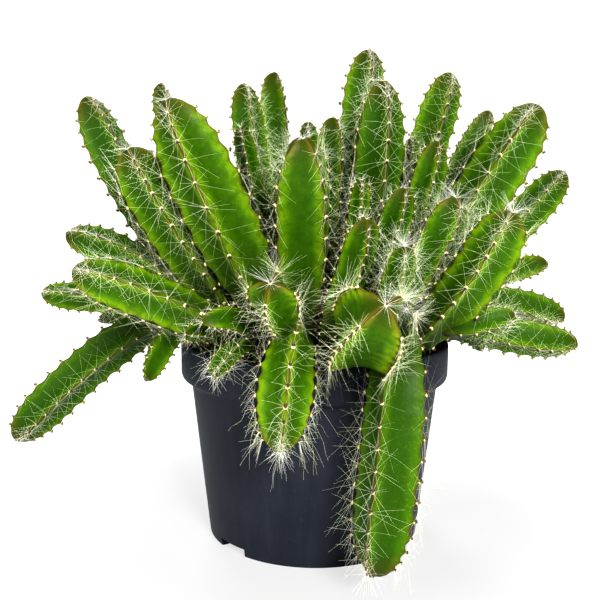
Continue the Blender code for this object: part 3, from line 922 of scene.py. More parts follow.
class Route:
    """The middle line of a stem, with a frame that doesn't turn about it."""

    STEPS = 160
    END_ON = 0.85

    def __init__(self, start: np.ndarray, handle: np.ndarray, elbow: np.ndarray, tip: np.ndarray) -> None:
        """Samples the curve.

        Args:
            start: Where the stem starts.
            handle: The point that it heads for as it starts.
            elbow: The point that it comes from as it ends.
            tip: Where it ends.
        """
        t = np.linspace(0.0, 1.0, self.STEPS + 1)[:, None]
        u = 1.0 - t
        self.points = u**3 * start + 3 * u * u * t * handle + 3 * u * t * t * elbow + t**3 * tip
        steps = np.linalg.norm(np.diff(self.points, axis=0), axis=1)
        self.lengths = np.concatenate(([0.0], np.cumsum(steps)))
        self.length = float(self.lengths[-1])
        inner = self.points[2:] - self.points[:-2]
        self.tangents = unit(np.vstack((handle - start, inner, tip - elbow)))
        self.sides = self.carried_sides()

    def carried_sides(self) -> np.ndarray:
        """One direction across the stem at each sample, set at the tip and carried to the root.

        Returns:
            The directions.
        """
        tangent = self.tangents[-1]
        seen = VIEWER if abs(tangent @ VIEWER) < self.END_ON else UP
        side = unit(seen - (seen @ tangent) * tangent)
        sides = [side]
        for after, before in zip(self.tangents[::-1], self.tangents[-2::-1]):
            axis = np.cross(after, before)
            cosine = after @ before
            side = cosine * side + np.cross(axis, side) + axis * (axis @ side) / (1.0 + cosine)
            side = unit(side - (side @ before) * before)
            sides.append(side)
        return np.array(sides[::-1])

    def at(self, distances: np.ndarray) -> tuple[np.ndarray, np.ndarray, np.ndarray]:
        """The line and its frame at some distances from the start.

        Args:
            distances: The distances.

        Returns:
            The points, the tangents and the side directions.
        """
        rows = []
        for samples in (self.points, self.tangents, self.sides):
            columns = [np.interp(distances, self.lengths, samples[:, axis]) for axis in range(3)]
            rows.append(np.stack(columns, axis=1))
        points, tangents, sides = rows[0], unit(rows[1]), rows[2]
        sides = unit(sides - np.sum(sides * tangents, axis=1, keepdims=True) * tangents)
        return points, tangents, sides


@dataclass
class SkinSection:
    """The section of a stem: sharp-edged ribs with rounded valleys between them.

    Args:
        crest_cut: How far the rounding of a crest reaches along the faces beside it.
        valley_cut: How far the rounding of a valley reaches.
        bulge: How far the faces swell, as a share of the radius.
    """

    crest_cut: float = 0.10
    valley_cut: float = 0.42
    bulge: float = 0.035

    CREST_STOPS = (0.0, 0.25, 0.5, 0.75, 1.0)
    VALLEY_STOPS = (0.0, 0.33, 0.67, 1.0)
    CREST_VALUES = (0.80, 0.95, 1.0, 0.95, 0.80)
    VALLEY_VALUES = (0.15, 0.03, 0.03, 0.15)
    FACE_STOPS = (1 / 3, 2 / 3)
    FACE_VALUES = (0.55, 0.32)
    CREST_POINT = 2
    RIB_POINTS = 13

    @staticmethod
    def corner(
        before: np.ndarray, middle: np.ndarray, after: np.ndarray, cut: float, stop: float
    ) -> np.ndarray:
        """A point of a rounded corner.

        Args:
            before: The corner before.
            middle: The corner that is rounded.
            after: The corner after.
            cut: Share of each side that the rounding takes.
            stop: Place on the rounding, from 0 to 1.

        Returns:
            The point, for each ring.
        """
        start = middle + cut * (before - middle)
        end = middle + cut * (after - middle)
        return (1 - stop) ** 2 * start + 2 * stop * (1 - stop) * middle + stop**2 * end

    def outline(self, crests: np.ndarray, valleys: np.ndarray, twist: float) -> np.ndarray:
        """The section at each ring.

        Args:
            crests: Radius of each rib at each ring.
            valleys: Radius of the valleys at each ring.
            twist: Turn of the first rib, in radians.

        Returns:
            Points of two numbers for each ring, counter-clockwise.
        """
        ribs = crests.shape[1]
        corners = []
        for index in range(2 * ribs):
            angle = twist + math.pi * index / ribs
            radius = valleys if index % 2 else crests[:, index // 2]
            corners.append(radius[:, None] * np.array((math.cos(angle), math.sin(angle))))
        outline = []
        for index in range(2 * ribs):
            before, middle, after = corners[index - 1], corners[index], corners[(index + 1) % (2 * ribs)]
            is_valley = index % 2 == 1
            cut = self.valley_cut if is_valley else self.crest_cut
            for stop in self.VALLEY_STOPS if is_valley else self.CREST_STOPS:
                outline.append(self.corner(before, middle, after, cut, stop))
            next_cut = self.crest_cut if is_valley else self.valley_cut
            start, end = middle + cut * (after - middle), after + next_cut * (middle - after)
            swell = unit(start + end) * self.bulge * crests.mean(axis=1, keepdims=True)
            swell *= np.minimum(1.0, np.linalg.norm(end - start, axis=1, keepdims=True))
            for share in self.FACE_STOPS:
                outline.append(start + share * (end - start) + swell * 4 * share * (1 - share))
        return np.stack(outline, axis=1)

    def crest_values(self, ribs: int) -> np.ndarray:
        """How near each point of the section is to a crest, from 0 to 1."""
        rib = self.CREST_VALUES + self.FACE_VALUES + self.VALLEY_VALUES + self.FACE_VALUES[::-1]
        return np.array(rib * ribs)


@dataclass
class StemSkin:
    """The fine surface of one stem or shoot, and the places of its areoles.

    Args:
        route: The middle line.
        shape: The stem or shoot.
        rooted: Whether it stands in the soil.
    """

    route: Route
    shape: Stem | Shoot
    rooted: bool

    NECK_SHARE = 0.42
    NECK_RANGE = (3.2, 5.0)
    VALLEY_SHARE = {3: 0.36, 4: 0.5}
    TIP_ROUNDING = 2.2
    SCALLOP = 0.055
    SCALLOP_POINT = 1.5
    ROOT_DEPTH = 6.0
    PITCH_SHARE = 0.75
    PITCH_RANGE = (5.0, 9.5)
    PITCH_START = 0.28
    PITCH_GROWTH = 0.14
    FIRST_AREOLE = 0.1
    TOP_AREOLE = 0.30
    NECK_PITCH = 6.0
    RINGS_PER_PITCH = 4
    TIP_RINGS = (0.16, 0.05, 0.012)
    TIP_LEAN = 1.1
    LEAN_REACH = 1.5

    def __post_init__(self) -> None:
        """Works out the rings."""
        self.section = SkinSection()
        usual = float(np.clip(self.PITCH_SHARE * self.shape.radius, *self.PITCH_RANGE))
        self.pitch = self.shape.pitch or usual
        self.stations = self.areole_stations()
        self.distances = self.ring_distances()

    def areole_stations(self) -> np.ndarray:
        """Distances of the areoles of every second rib: closer together near the tip.

        Returns:
            The distances from the root up.
        """
        stations = [self.route.length - self.TOP_AREOLE * self.shape.radius]
        while True:
            share = min(self.PITCH_START + self.PITCH_GROWTH * len(stations), 1.0)
            following = stations[-1] - share * self.pitch
            if following < self.FIRST_AREOLE * self.route.length + 0.5 * self.pitch:
                return np.array(stations[::-1])
            stations.append(following)

    def ring_distances(self) -> np.ndarray:
        """Distances of the rings: even on the neck, and four to each areole above it.

        Returns:
            The distances from the root up.
        """
        neck_rings = max(int(self.stations[0] / self.NECK_PITCH), 2)
        neck = np.linspace(0.0, self.stations[0], neck_rings, endpoint=False)
        places = np.arange((len(self.stations) - 1) * self.RINGS_PER_PITCH + 1) / self.RINGS_PER_PITCH
        ribbed = np.interp(places, np.arange(len(self.stations)), self.stations)
        tip = self.route.length - np.array(self.TIP_RINGS) * self.shape.radius
        return np.concatenate((neck, ribbed, tip))

    def radius_at(self, distances: np.ndarray) -> np.ndarray:
        """Radius of the ribs, with the narrow neck and the blunt tip."""
        radius = self.shape.radius
        neck = np.clip(self.NECK_SHARE * radius, *self.NECK_RANGE) / radius
        share = neck + (1.0 - neck) * smoothstep(distances / (self.shape.neck * self.route.length))
        cap = self.shape.cap * radius
        into = np.maximum(distances - (self.route.length - cap), 0.0) / cap
        return radius * share * (1.0 - into**self.TIP_ROUNDING) ** (1.0 / self.TIP_ROUNDING)

    def valley_at(self, distances: np.ndarray) -> np.ndarray:
        """Share of the rib radius that the valleys have."""
        opened = smoothstep(distances / (self.shape.neck * self.route.length))
        return 1.0 + (self.VALLEY_SHARE[self.shape.ribs] - 1.0) * opened

    def swell(self, distances: np.ndarray) -> np.ndarray:
        """How far each rib swells at each ring: out at its areoles, in between them.

        Returns:
            A number from -1 to 1 for each ring and rib.
        """
        phase = np.interp(distances, self.stations, np.arange(len(self.stations)))
        waves = []
        for rib in range(self.shape.ribs):
            wave = np.cos(math.tau * (phase + 0.5 * (rib % 2)))
            waves.append(2.0 * ((1.0 + wave) / 2.0) ** self.SCALLOP_POINT - 1.0)
        ribbed = smoothstep((distances - 0.5 * self.stations[0]) / (0.5 * self.stations[0]))
        return np.stack(waves, axis=1) * ribbed[:, None]

    def rings(self) -> np.ndarray:
        """The points of the skin.

        Returns:
            Three numbers for each point of each ring.
        """
        centres, tangents, sides = self.route.at(self.distances)
        across = np.cross(tangents, sides)
        radius = self.radius_at(self.distances)
        crests = radius[:, None] * (1.0 + self.SCALLOP * self.swell(self.distances))
        valleys = radius * self.valley_at(self.distances)
        outline = self.section.outline(crests, valleys, math.radians(self.shape.twist))
        flat = outline[..., :1] * sides[:, None] + outline[..., 1:] * across[:, None]
        return centres[:, None] + flat

    def surface(self, tone_and_light: float) -> SkinMesh:
        """The skin as points, faces and the values that its finish reads.

        Args:
            tone_and_light: How pale its green is; on the listed stems this is painted light, on the rest a
                random tone.

        Returns:
            The surface.
        """
        rings = self.rings()
        sides = rings.shape[1]
        if self.rooted:
            rings = np.concatenate((rings[:1] - self.ROOT_DEPTH * UP, rings))
        distances = np.concatenate(([0.0] * self.rooted, self.distances))
        tip = self.route.at(np.array([self.route.length]))[0]
        points = np.concatenate((rings.reshape(-1, 3), tip))
        rings_made = len(rings)
        faces = ring_faces(rings_made, sides)
        faces.append(tuple(reversed(range(sides))))
        last, pole = (rings_made - 1) * sides, rings_made * sides
        faces += [(last + side, last + (side + 1) % sides, pole) for side in range(sides)]
        crest = np.tile(self.section.crest_values(self.shape.ribs), rings_made)
        rise = np.repeat(distances / self.route.length, sides)
        swollen = np.maximum(self.swell(distances), 0.0) ** 2
        areole = np.repeat(swollen, self.section.RIB_POINTS, axis=1).ravel()
        values = {
            "crest": np.append(crest, 1.0),
            "rise": np.append(rise, 1.0),
            "areole": np.append(areole, 1.0),
            "tone_and_light": np.full(len(points), tone_and_light),
        }
        return SkinMesh(points, faces, values)

    def areoles(self) -> list[Areole]:
        """The areoles of the skin, and the crown of its tip.

        Returns:
            The areoles.
        """
        rings = self.rings()
        _, tangents, sides = self.route.at(self.distances)
        across = np.cross(tangents, sides)
        first = len(self.distances) - len(self.TIP_RINGS) - 1
        first -= (len(self.stations) - 1) * self.RINGS_PER_PITCH
        half = self.RINGS_PER_PITCH // 2
        found = []
        for rib in range(self.shape.ribs):
            angle = math.radians(self.shape.twist) + math.tau * rib / self.shape.ribs
            start = first + (half if rib % 2 else 0)
            for ring in range(start, len(self.distances) - len(self.TIP_RINGS), self.RINGS_PER_PITCH):
                out = math.cos(angle) * sides[ring] + math.sin(angle) * across[ring]
                point = rings[ring, rib * self.section.RIB_POINTS + self.section.CREST_POINT]
                rise = self.distances[ring] / self.route.length
                below = (self.distances[ring] - self.route.length) / self.shape.radius
                lean = smoothstep(below + self.LEAN_REACH)
                out = unit(out + self.TIP_LEAN * lean * tangents[ring])
                found.append(Areole(point, out, tangents[ring], rise))
        tip, along, side = self.route.at(np.array([self.route.length]))
        found.append(Areole(tip[0], along[0], side[0], 1.0))
        return found


@dataclass(frozen=True)
class SkinMesh:
    """Points and faces of a skin, with the values that its finish reads at each point."""

    points: np.ndarray
    faces: list[tuple[int, ...]]
    values: dict[str, np.ndarray]


@dataclass(frozen=True)
class Areole:
    """A place on a rib that carries wool and bristles.

    Args:
        point: Where it is.
        out: The way it faces.
        along: The way its stem grows there.
        rise: Its place on the stem: 0 at the root, 1 at the tip.
    """

    point: np.ndarray
    out: np.ndarray
    along: np.ndarray
    rise: float


class Stud(Enum):
    """What an areole stands on and carries."""

    NUB = "nubs"
    WOOL = "wool"


@dataclass
class StudMaker:
    """Sets one small solid on every areole.

    Args:
        kind: Whether it is the horny nub or the wool cushion.
        width: Its radius on the skin.
        height: How far it stands off the skin.
        lean: How far it leans towards the tip.
        shift: How far it sits towards the tip, as a share of its width.
        seed: Seed of the random draws.
    """

    kind: Stud
    width: float
    height: float
    lean: float
    shift: float
    seed: int = 4

    SIZES = (0.8, 1.2)
    BALL = {"Segments": 7, "Rings": 4, "Radius": 1.0}
    CONE = {"Vertices": 6, "Radius Top": 0.35, "Radius Bottom": 1.0, "Depth": 1.0}

    def tree(self, material: bpy.types.Material) -> GeometryGraph:
        """Builds the tree.

        Args:
            material: The studs' material.

        Returns:
            The tree.
        """
        graph = GeometryGraph(self.kind.value)
        width = graph.size("Width", self.width * MM)
        height = graph.size("Height", self.height * MM)
        seed = graph.size("Seed", self.seed)
        if self.kind is Stud.WOOL:
            stud = graph.value("GeometryNodeMeshUVSphere", {}, self.BALL)
        else:
            stud = graph.value("GeometryNodeMeshCone", {}, self.CONE)
        size = graph.attribute("size") * graph.random(*self.SIZES, seed, 1)
        scale = graph.vector(width * size, width * size, height * size)
        out = graph.attribute("out", "FLOAT_VECTOR")
        along = graph.attribute("along", "FLOAT_VECTOR")
        lean = out + along * self.lean
        inputs = {"Geometry": graph.source, "Offset": along * (width * self.shift)}
        places = graph.value("GeometryNodeSetPosition", {}, inputs)
        places = graph.value("GeometryNodeMeshToPoints", {}, {"Mesh": places})
        graph.close(graph.scatter(places, stud, lean, scale), material)
        return graph


class Cover(Enum):
    """What grows out of an areole."""

    BRISTLES = "bristles"
    HAIRS = "hairs"


@dataclass
class BristleMaker:
    """Grows the bristles of the areoles.

    Args:
        kind: Whether they are straight bristles or long hairs.
        foot: Radius of a bristle at its foot.
        point: Share of that radius at its point.
        joints: Points along a bristle.
        bend: How far a bristle bends aside, as a share of its length.
        wave: How far it waves to and fro, as a share of its length.
        seed: Seed of the random draws.
    """

    kind: Cover
    foot: float = 0.047
    point: float = 0.4
    joints: int = 3
    bend: float = 0.10
    wave: float = 0.0
    seed: int = 11

    WAVES = 1.3
    TURNS = (-0.45, 0.45)
    LIFTS = (-0.28, 0.30)
    LENGTHS = (0.45, 1.35)
    LEAST_SPREAD = 0.05
    SIDEWAYS = ((-1.0, -1.0, -1.0), (1.0, 1.0, 1.0))

    def tree(self, material: bpy.types.Material) -> GeometryGraph:
        """Builds the tree.

        Args:
            material: The bristles' material.

        Returns:
            The tree.
        """
        graph = GeometryGraph(self.kind.value)
        foot = graph.size("Foot radius", self.foot * MM)
        point = graph.size("Point share", self.point)
        joints = graph.size("Joints", self.joints)
        bend = graph.size("Bend", self.bend)
        wave = graph.size("Wave", self.wave)
        seed = graph.size("Seed", self.seed)
        margin = BOX_MARGIN * MM
        low = graph.size("Lowest corner", tuple(x + margin for x in cad_box[0]))
        high = graph.size("Highest corner", tuple(x - margin for x in cad_box[1]))
        count = graph.attribute("count", "INT")
        inputs = {"Geometry": graph.source, "Amount": count}
        copies = graph.node("GeometryNodeDuplicateElements", {"domain": "POINT"}, inputs)
        feet = Socket(graph, copies.outputs["Geometry"])
        index = Socket(graph, copies.outputs["Duplicate Index"])
        turn = (index + graph.random(*self.TURNS, seed, 1)) / count * math.tau
        lift = graph.attribute("lift") + graph.random(*self.LIFTS, seed, 2)
        flat = graph.math("SQRT", graph.math("MAXIMUM", 1.0 - lift * lift, self.LEAST_SPREAD))
        out = graph.attribute("out", "FLOAT_VECTOR")
        along = graph.attribute("along", "FLOAT_VECTOR")
        across = graph.value("ShaderNodeVectorMath", {"operation": "CROSS_PRODUCT"}, {0: out, 1: along})
        fan = along * graph.math("COSINE", turn) + across * graph.math("SINE", turn)
        way = out * lift + fan * flat
        length = graph.attribute("reach") * graph.random(*self.LENGTHS, seed, 3) * MM
        sideways = graph.random(*self.SIDEWAYS, seed, 4) * bend
        drop = (0.0, 0.0, -1.0) * graph.attribute("sag")
        feet = graph.store(feet, "bend", "FLOAT_VECTOR", (sideways + drop) * length)
        swing = graph.random(*self.SIDEWAYS, seed, 5) * (wave * length)
        feet = graph.store(feet, "swing", "FLOAT_VECTOR", swing)
        line = graph.value("GeometryNodeCurvePrimitiveLine", {}, {"End": (0.0, 0.0, 1.0)})
        line = graph.value("GeometryNodeResampleCurve", {}, {"Curve": line, "Count": joints})
        hairs = graph.scatter(feet, line, way, graph.vector(1.0, 1.0, length))
        hairs = graph.value("GeometryNodeRealizeInstances", {}, {"Geometry": hairs})
        share = graph.value("GeometryNodeSplineParameter", {}, {}, "Factor")
        offset = graph.attribute("bend", "FLOAT_VECTOR") * (share * share)
        waving = graph.math("SINE", share * (math.tau * self.WAVES))
        offset = offset + graph.attribute("swing", "FLOAT_VECTOR") * waving
        hairs = graph.value("GeometryNodeSetPosition", {}, {"Geometry": hairs, "Offset": offset})
        where = graph.value("GeometryNodeInputPosition", {}, {})
        held = graph.combine("MINIMUM", graph.combine("MAXIMUM", where, low), high)
        hairs = graph.value("GeometryNodeSetPosition", {}, {"Geometry": hairs, "Position": held})
        ring = graph.value("GeometryNodeCurvePrimitiveCircle", {}, {"Resolution": 3, "Radius": 1.0})
        radius = foot * (1.0 - share * (1.0 - point))
        inputs = {"Curve": hairs, "Profile Curve": ring, "Scale": radius, "Fill Caps": True}
        graph.close(graph.value("GeometryNodeCurveToMesh", {}, inputs), material)
        return graph


@dataclass
class CactusClump:
    """All the stems with their skins, nubs, wool, bristles and hairs.

    Args:
        soil_top: Height of the soil that they stand on.
        shoot_handle: Share of the way to its elbow over which a shoot leaves its stem straight.
        small_radius: Stems below it have the short cover, unless a table says otherwise.
        large_radius: Stems above it have the sparse cover.
        hair_reach: Mean length of a long hair.
        hair_lift: How far a long hair stands off the skin.
        hair_sag: How far its point hangs, as a share of its length.
        hair_crown: How much thicker the long hairs stand on the tip.
        hair_rise: Share of the stem above which long hairs grow.
        foot_cover: Share of the bristles that the areoles at the foot keep.
        cover_step: Rise where the cover starts to thicken, and over how much rise it does.
        young_step: Rise where the young growth starts, and over how much rise it sets in.
        crown_step: The same for the crown of the tip.
        young_short: How much shorter the bristles of young growth are.
        young_lift: How much further they stand off.
        young_small: How much smaller the nubs and the wool of young growth are.
        crown_long: How much longer the bristles of the crown are.
        stud_radius: Radius of the stem whose nubs and wool have their full size.
        stud_sizes: Smallest and largest size of the nubs and the wool.
        tones: Lowest and highest tone of the stems that have no painted light listed.
        seed: Seed of the tones.
        flesh: Finish of the skins.
        nub: Finish of the nubs.
        wool: Finish of the wool.
        bristle: Finish of the bristles and the hairs.
    """

    soil_top: float = 80.0
    shoot_handle: float = 0.4
    small_radius: float = 7.6
    large_radius: float = 9.0
    hair_reach: float = 10.5
    hair_lift: float = 0.55
    hair_sag: float = 0.6
    hair_crown: float = 0.5
    hair_rise: float = 0.62
    foot_cover: float = 0.35
    cover_step: Pair = (0.25, 0.4)
    young_step: Pair = (0.8, 0.2)
    crown_step: Pair = (0.86, 0.14)
    young_short: float = 0.4
    young_lift: float = 0.15
    young_small: float = 0.25
    crown_long: float = 0.2
    stud_radius: float = 10.0
    stud_sizes: Pair = (0.65, 1.05)
    tones: Pair = (0.2, 0.8)
    seed: int = 7
    flesh: FleshFinish = field(default_factory=FleshFinish)
    nub: PlainFinish = PlainFinish("areole_nub", (0.045, 0.022, 0.010), (0.10, 0.05, 0.02), 0.6)
    wool: PlainFinish = PlainFinish("areole_wool", (0.52, 0.42, 0.22), (0.76, 0.66, 0.42), 0.9)
    bristle: BristleFinish = BristleFinish()

    REGIONS = ("left", "front", "centre", "right", "back")

    def build(self) -> list[bpy.types.Object]:
        """Builds the clump.

        Returns:
            Its pieces.
        """
        flesh = self.flesh.build()
        rng = np.random.default_rng(self.seed)
        pieces = []
        areoles: dict[str, list[tuple[Areole, Coat, float]]] = {region: [] for region in self.REGIONS}
        for name, stem in STEMS.items():
            skins = self.skins_of(name, stem)
            pieces.append(self.skin_piece(name, skins, flesh, rng))
            region = name.split("_")[1]
            for skin in skins:
                coat = self.coat_of(name, skin)
                areoles[region] += [(areole, coat, skin.shape.radius) for areole in skin.areoles()]
        nub, wool, bristle = self.nub.build(), self.wool.build(), self.bristle.build()
        hairs = BristleMaker(Cover.HAIRS, foot=0.045, point=0.5, joints=8, bend=0.25, wave=0.07, seed=12)
        makers = [
            (StudMaker(Stud.NUB, width=0.80, height=1.15, lean=0.6, shift=-0.55), nub),
            (StudMaker(Stud.WOOL, width=0.82, height=0.36, lean=0.15, shift=0.15), wool),
            (BristleMaker(Cover.BRISTLES), bristle),
            (hairs, bristle),
        ]
        trees = [(maker.tree(material), maker.kind, material) for maker, material in makers]
        for region in self.REGIONS:
            for tree, kind, material in trees:
                chosen = self.hairy(areoles[region]) if kind is Cover.HAIRS else areoles[region]
                if not chosen:
                    continue
                points = self.point_mesh(chosen, kind.value)
                piece = tree.run(f"{kind.value}_{region}", points, material)
                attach(piece, BODY)
                pieces.append(piece)
        return pieces

    def skins_of(self, name: str, stem: Stem) -> list[StemSkin]:
        """The skins of a stem and of its shoots.

        Args:
            name: The stem's node.
            stem: The stem.

        Returns:
            The skins.
        """
        start = np.array((*stem.root, self.soil_top), float)
        elbow, tip = np.array(stem.elbow, float), np.array(stem.tip, float)
        route = Route(start, start + stem.rise * UP, elbow, tip)
        skins = [StemSkin(route, stem, True)]
        for shoot in SHOOTS.get(name, ()):
            begin = route.at(np.array([shoot.start * route.length]))[0][0]
            elbow, tip = np.array(shoot.elbow, float), np.array(shoot.tip, float)
            handle = begin + self.shoot_handle * (elbow - begin)
            skins.append(StemSkin(Route(begin, handle, elbow, tip), shoot, False))
        return skins

    def coat_of(self, name: str, skin: StemSkin) -> Coat:
        """The bristle cover of a stem or shoot."""
        chosen = COATS if skin.rooted else SHOOT_COATS
        if name in chosen:
            return chosen[name].value
        if skin.shape.radius < self.small_radius:
            return Coats.SHORT.value
        return Coats.SPARSE.value if skin.shape.radius > self.large_radius else Coats.DENSE.value

    def skin_piece(
        self, name: str, skins: list[StemSkin], flesh: bpy.types.Material, rng: np.random.Generator
    ) -> bpy.types.Object:
        """Joins the skins of a node in one piece that replaces it.

        Args:
            name: The node.
            skins: The skins of the stem and of its shoots.
            flesh: Their material.
            rng: Draws the tones of the skins that have no painted light listed.

        Returns:
            The piece.
        """
        drawn = rng.uniform(*self.tones, len(skins))
        surfaces = [skin.surface(float(tone_and_light)) for skin, tone_and_light in zip(skins, PAINTED_LIGHT_TONES.get(name, drawn))]
        points = np.concatenate([surface.points for surface in surfaces])
        faces = []
        first = 0
        for surface in surfaces:
            faces += [tuple(first + corner for corner in face) for face in surface.faces]
            first += len(surface.points)
        mesh = plain_mesh(name + "_skin", points, faces)
        for key in surfaces[0].values:
            give_values(mesh, key, "FLOAT", np.concatenate([surface.values[key] for surface in surfaces]))
        mesh.shade_smooth()
        mesh.materials.append(flesh)
        piece = place_object(name + "_skin", mesh)
        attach(piece, BODY)
        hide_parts(name)
        return piece

    def hairy(self, areoles: list[tuple[Areole, Coat, float]]) -> list[tuple[Areole, Coat, float]]:
        """The areoles that carry long hairs, each with a cover of hairs alone.

        Args:
            areoles: Each areole with its coat and its stem's radius.

        Returns:
            The ones on the upper part of stems whose coat has hairs.
        """
        sizes = (self.hair_reach, self.hair_lift, self.hair_sag, self.hair_crown)
        return [
            (areole, Coat(coat.hairs, *sizes), radius)
            for areole, coat, radius in areoles
            if coat.hairs and areole.rise > self.hair_rise
        ]

    def point_mesh(self, areoles: list[tuple[Areole, Coat, float]], kind: str) -> bpy.types.Mesh:
        """The areoles as a mesh of loose points, with what the trees read at each.

        Args:
            areoles: Each areole with its coat and its stem's radius.
            kind: What is set on them.

        Returns:
            The mesh.
        """
        point, out, along, rise = (
            np.array([getattr(areole, key) for areole, _, _ in areoles])
            for key in ("point", "out", "along", "rise")
        )
        count, reach, lift, sag, crown = (
            np.array([getattr(coat, key) for _, coat, _ in areoles])
            for key in ("count", "reach", "lift", "sag", "crown")
        )
        radius = np.array([radius for _, _, radius in areoles])
        mesh = plain_mesh(kind, point, [])
        young = eased(rise, *self.young_step)
        crown = eased(rise, *self.crown_step) * crown
        cover = self.foot_cover + (1.0 - self.foot_cover) * eased(rise, *self.cover_step)
        reach = reach * (1.0 - self.young_short * young + self.crown_long * crown)
        size = np.clip(radius / self.stud_radius, *self.stud_sizes) * (1.0 - self.young_small * young)
        give_values(mesh, "out", "FLOAT_VECTOR", out)
        give_values(mesh, "along", "FLOAT_VECTOR", along)
        give_values(mesh, "count", "INT", np.ceil(count * cover * (1.0 + crown)).astype(int))
        give_values(mesh, "reach", "FLOAT", reach)
        give_values(mesh, "rise", "FLOAT", rise)
        give_values(mesh, "lift", "FLOAT", lift + self.young_lift * young)
        give_values(mesh, "sag", "FLOAT", sag)
        give_values(mesh, "size", "FLOAT", size)
        return mesh


@dataclass
class NurseryPot:
    """The tapered pot with its collar, foot notches and drain holes."""

    height: float = 88.0
    rim: float = 60.0
    collar: float = 17.0
    chamfer: float = 2.5
    shoulder: float = 55.5
    base: float = 47.5
    wall: float = 1.9
    floor: float = 6.0
    notches: int = 4
    notch_width: float = 17.0
    notch_height: float = 3.6
    notch_reach: float = 9.0
    notch_turn: float = 42.0
    drains: int = 4
    drain_radius: float = 3.5
    drain_circle: float = 27.0
    columns: int = 168
    seam: float = 0.01
    finish: PlasticFinish = field(default_factory=PlasticFinish)

    MIDDLE_RING = 20.0
    WALL_HEIGHTS = (4.0, 12.0, 24.0, 36.0, 48.0, 60.0, 68.0)
    SHOULDER_DROP = 0.8
    INNER_HEIGHT = 40.0
    FOOT_EDGE = ((-1.2, 0.0), (-0.35, 0.1), (0.0, 0.45))
    SHOULDER_EDGE = ((0.25, -0.25), (1.2, 0.1))
    COLLAR_EDGE = ((-1.6, 1.0), (-0.5, 1.9), (0.0, 3.4), (0.0, 8.0))
    RIM_EDGE = ((0.0, -1.0), (-0.2, -0.35), (-0.6, 0.0))
    INNER_EDGE = ((0.5, 0.0), (0.12, -0.15), (0.0, -0.6))
    NOTCH_BOX = ((0.0, -0.4), (1.0, -0.5), (1.0, 0.5), (0.0, 0.4))
    NOTCH_OVERSHOOT = 3.0
    DRAIN_SIDES = 24
    CUT_MARGIN = 1.0
    SHARP_ANGLE = 32.0

    def wall_radius(self, height: float) -> float:
        """Outer radius of the tapered body at a height."""
        return self.base + (self.shoulder - self.base) * height / (self.height - self.collar)

    def profile(self) -> list[Pair]:
        """The pot's outline from the middle of its underside to the middle of its floor.

        Returns:
            Pairs of a radius and a height.
        """
        low = self.height - self.collar
        inner = self.rim - self.wall
        outline = [(0.0, 0.0), (self.MIDDLE_RING, 0.0)] + self.edge(self.base, 0.0, self.FOOT_EDGE)
        heights = (*self.WALL_HEIGHTS, low - self.SHOULDER_DROP)
        outline += [(self.wall_radius(height), height) for height in heights]
        outline += self.edge(self.shoulder, low, self.SHOULDER_EDGE)
        outline += self.edge(self.rim, low, self.COLLAR_EDGE)
        outline += self.edge(self.rim, self.height, self.RIM_EDGE)
        outline += self.edge(inner, self.height, self.INNER_EDGE)
        outline += [(inner, low + self.chamfer), (self.shoulder - self.wall, low)]
        heights = (self.INNER_HEIGHT, self.floor)
        outline += [(self.wall_radius(height) - self.wall, height) for height in heights]
        return outline + [(self.MIDDLE_RING, self.floor), (0.0, self.floor)]

    @staticmethod
    def edge(radius: float, height: float, offsets: tuple[Pair, ...]) -> list[Pair]:
        """The points of an edge that is rounded, set off from its corner."""
        return [(radius + out, height + up) for out, up in offsets]

    def turning_tree(self, material: bpy.types.Material) -> GeometryGraph:
        """The tree that turns the profile round the pot's axis and closes the seam and the poles.

        Args:
            material: The shell's material.

        Returns:
            The tree.
        """
        graph = GeometryGraph("turned_shell")
        rows = graph.size("Profile points", len(self.profile()))
        columns = graph.size("Columns", self.columns)
        seam = graph.size("Seam width", self.seam * MM)
        counts = {"Vertices X": rows, "Vertices Y": columns + 1}
        grid = graph.value("GeometryNodeMeshGrid", {}, counts, "Mesh")
        index = graph.value("GeometryNodeInputIndex", {}, {})
        row = graph.math("FLOOR", (index + 0.5) / (columns + 1))
        angle = (index - row * (columns + 1)) / columns * math.tau
        where = graph.value("GeometryNodeInputPosition", {}, {})
        settings = {"data_type": "FLOAT_VECTOR", "domain": "POINT"}
        inputs = {"Geometry": graph.source, "Value": where, "Index": row}
        outline = graph.value("GeometryNodeSampleIndex", settings, inputs)
        radius = graph.value("ShaderNodeSeparateXYZ", {}, {"Vector": outline}, "X")
        height = graph.value("ShaderNodeSeparateXYZ", {}, {"Vector": outline}, "Z")
        x, y = radius * graph.math("COSINE", angle), radius * graph.math("SINE", angle)
        place = graph.vector(x, y, height)
        turned = graph.value("GeometryNodeSetPosition", {}, {"Geometry": grid, "Position": place})
        inputs = {"Geometry": turned, "Distance": seam}
        closed = graph.value("GeometryNodeMergeByDistance", {}, inputs)
        outward = graph.value("GeometryNodeFlipFaces", {}, {"Mesh": closed})
        graph.close(outward, material)
        return graph

    def shell(self, material: bpy.types.Material) -> bpy.types.Object:
        """The turned shell, before it is cut.

        Args:
            material: The shell's material.

        Returns:
            The shell.
        """
        points = np.array([(radius, 0.0, height) for radius, height in self.profile()])
        outline = plain_mesh("pot_profile", points, [])
        return self.turning_tree(material).run("nursery_pot", outline, material)

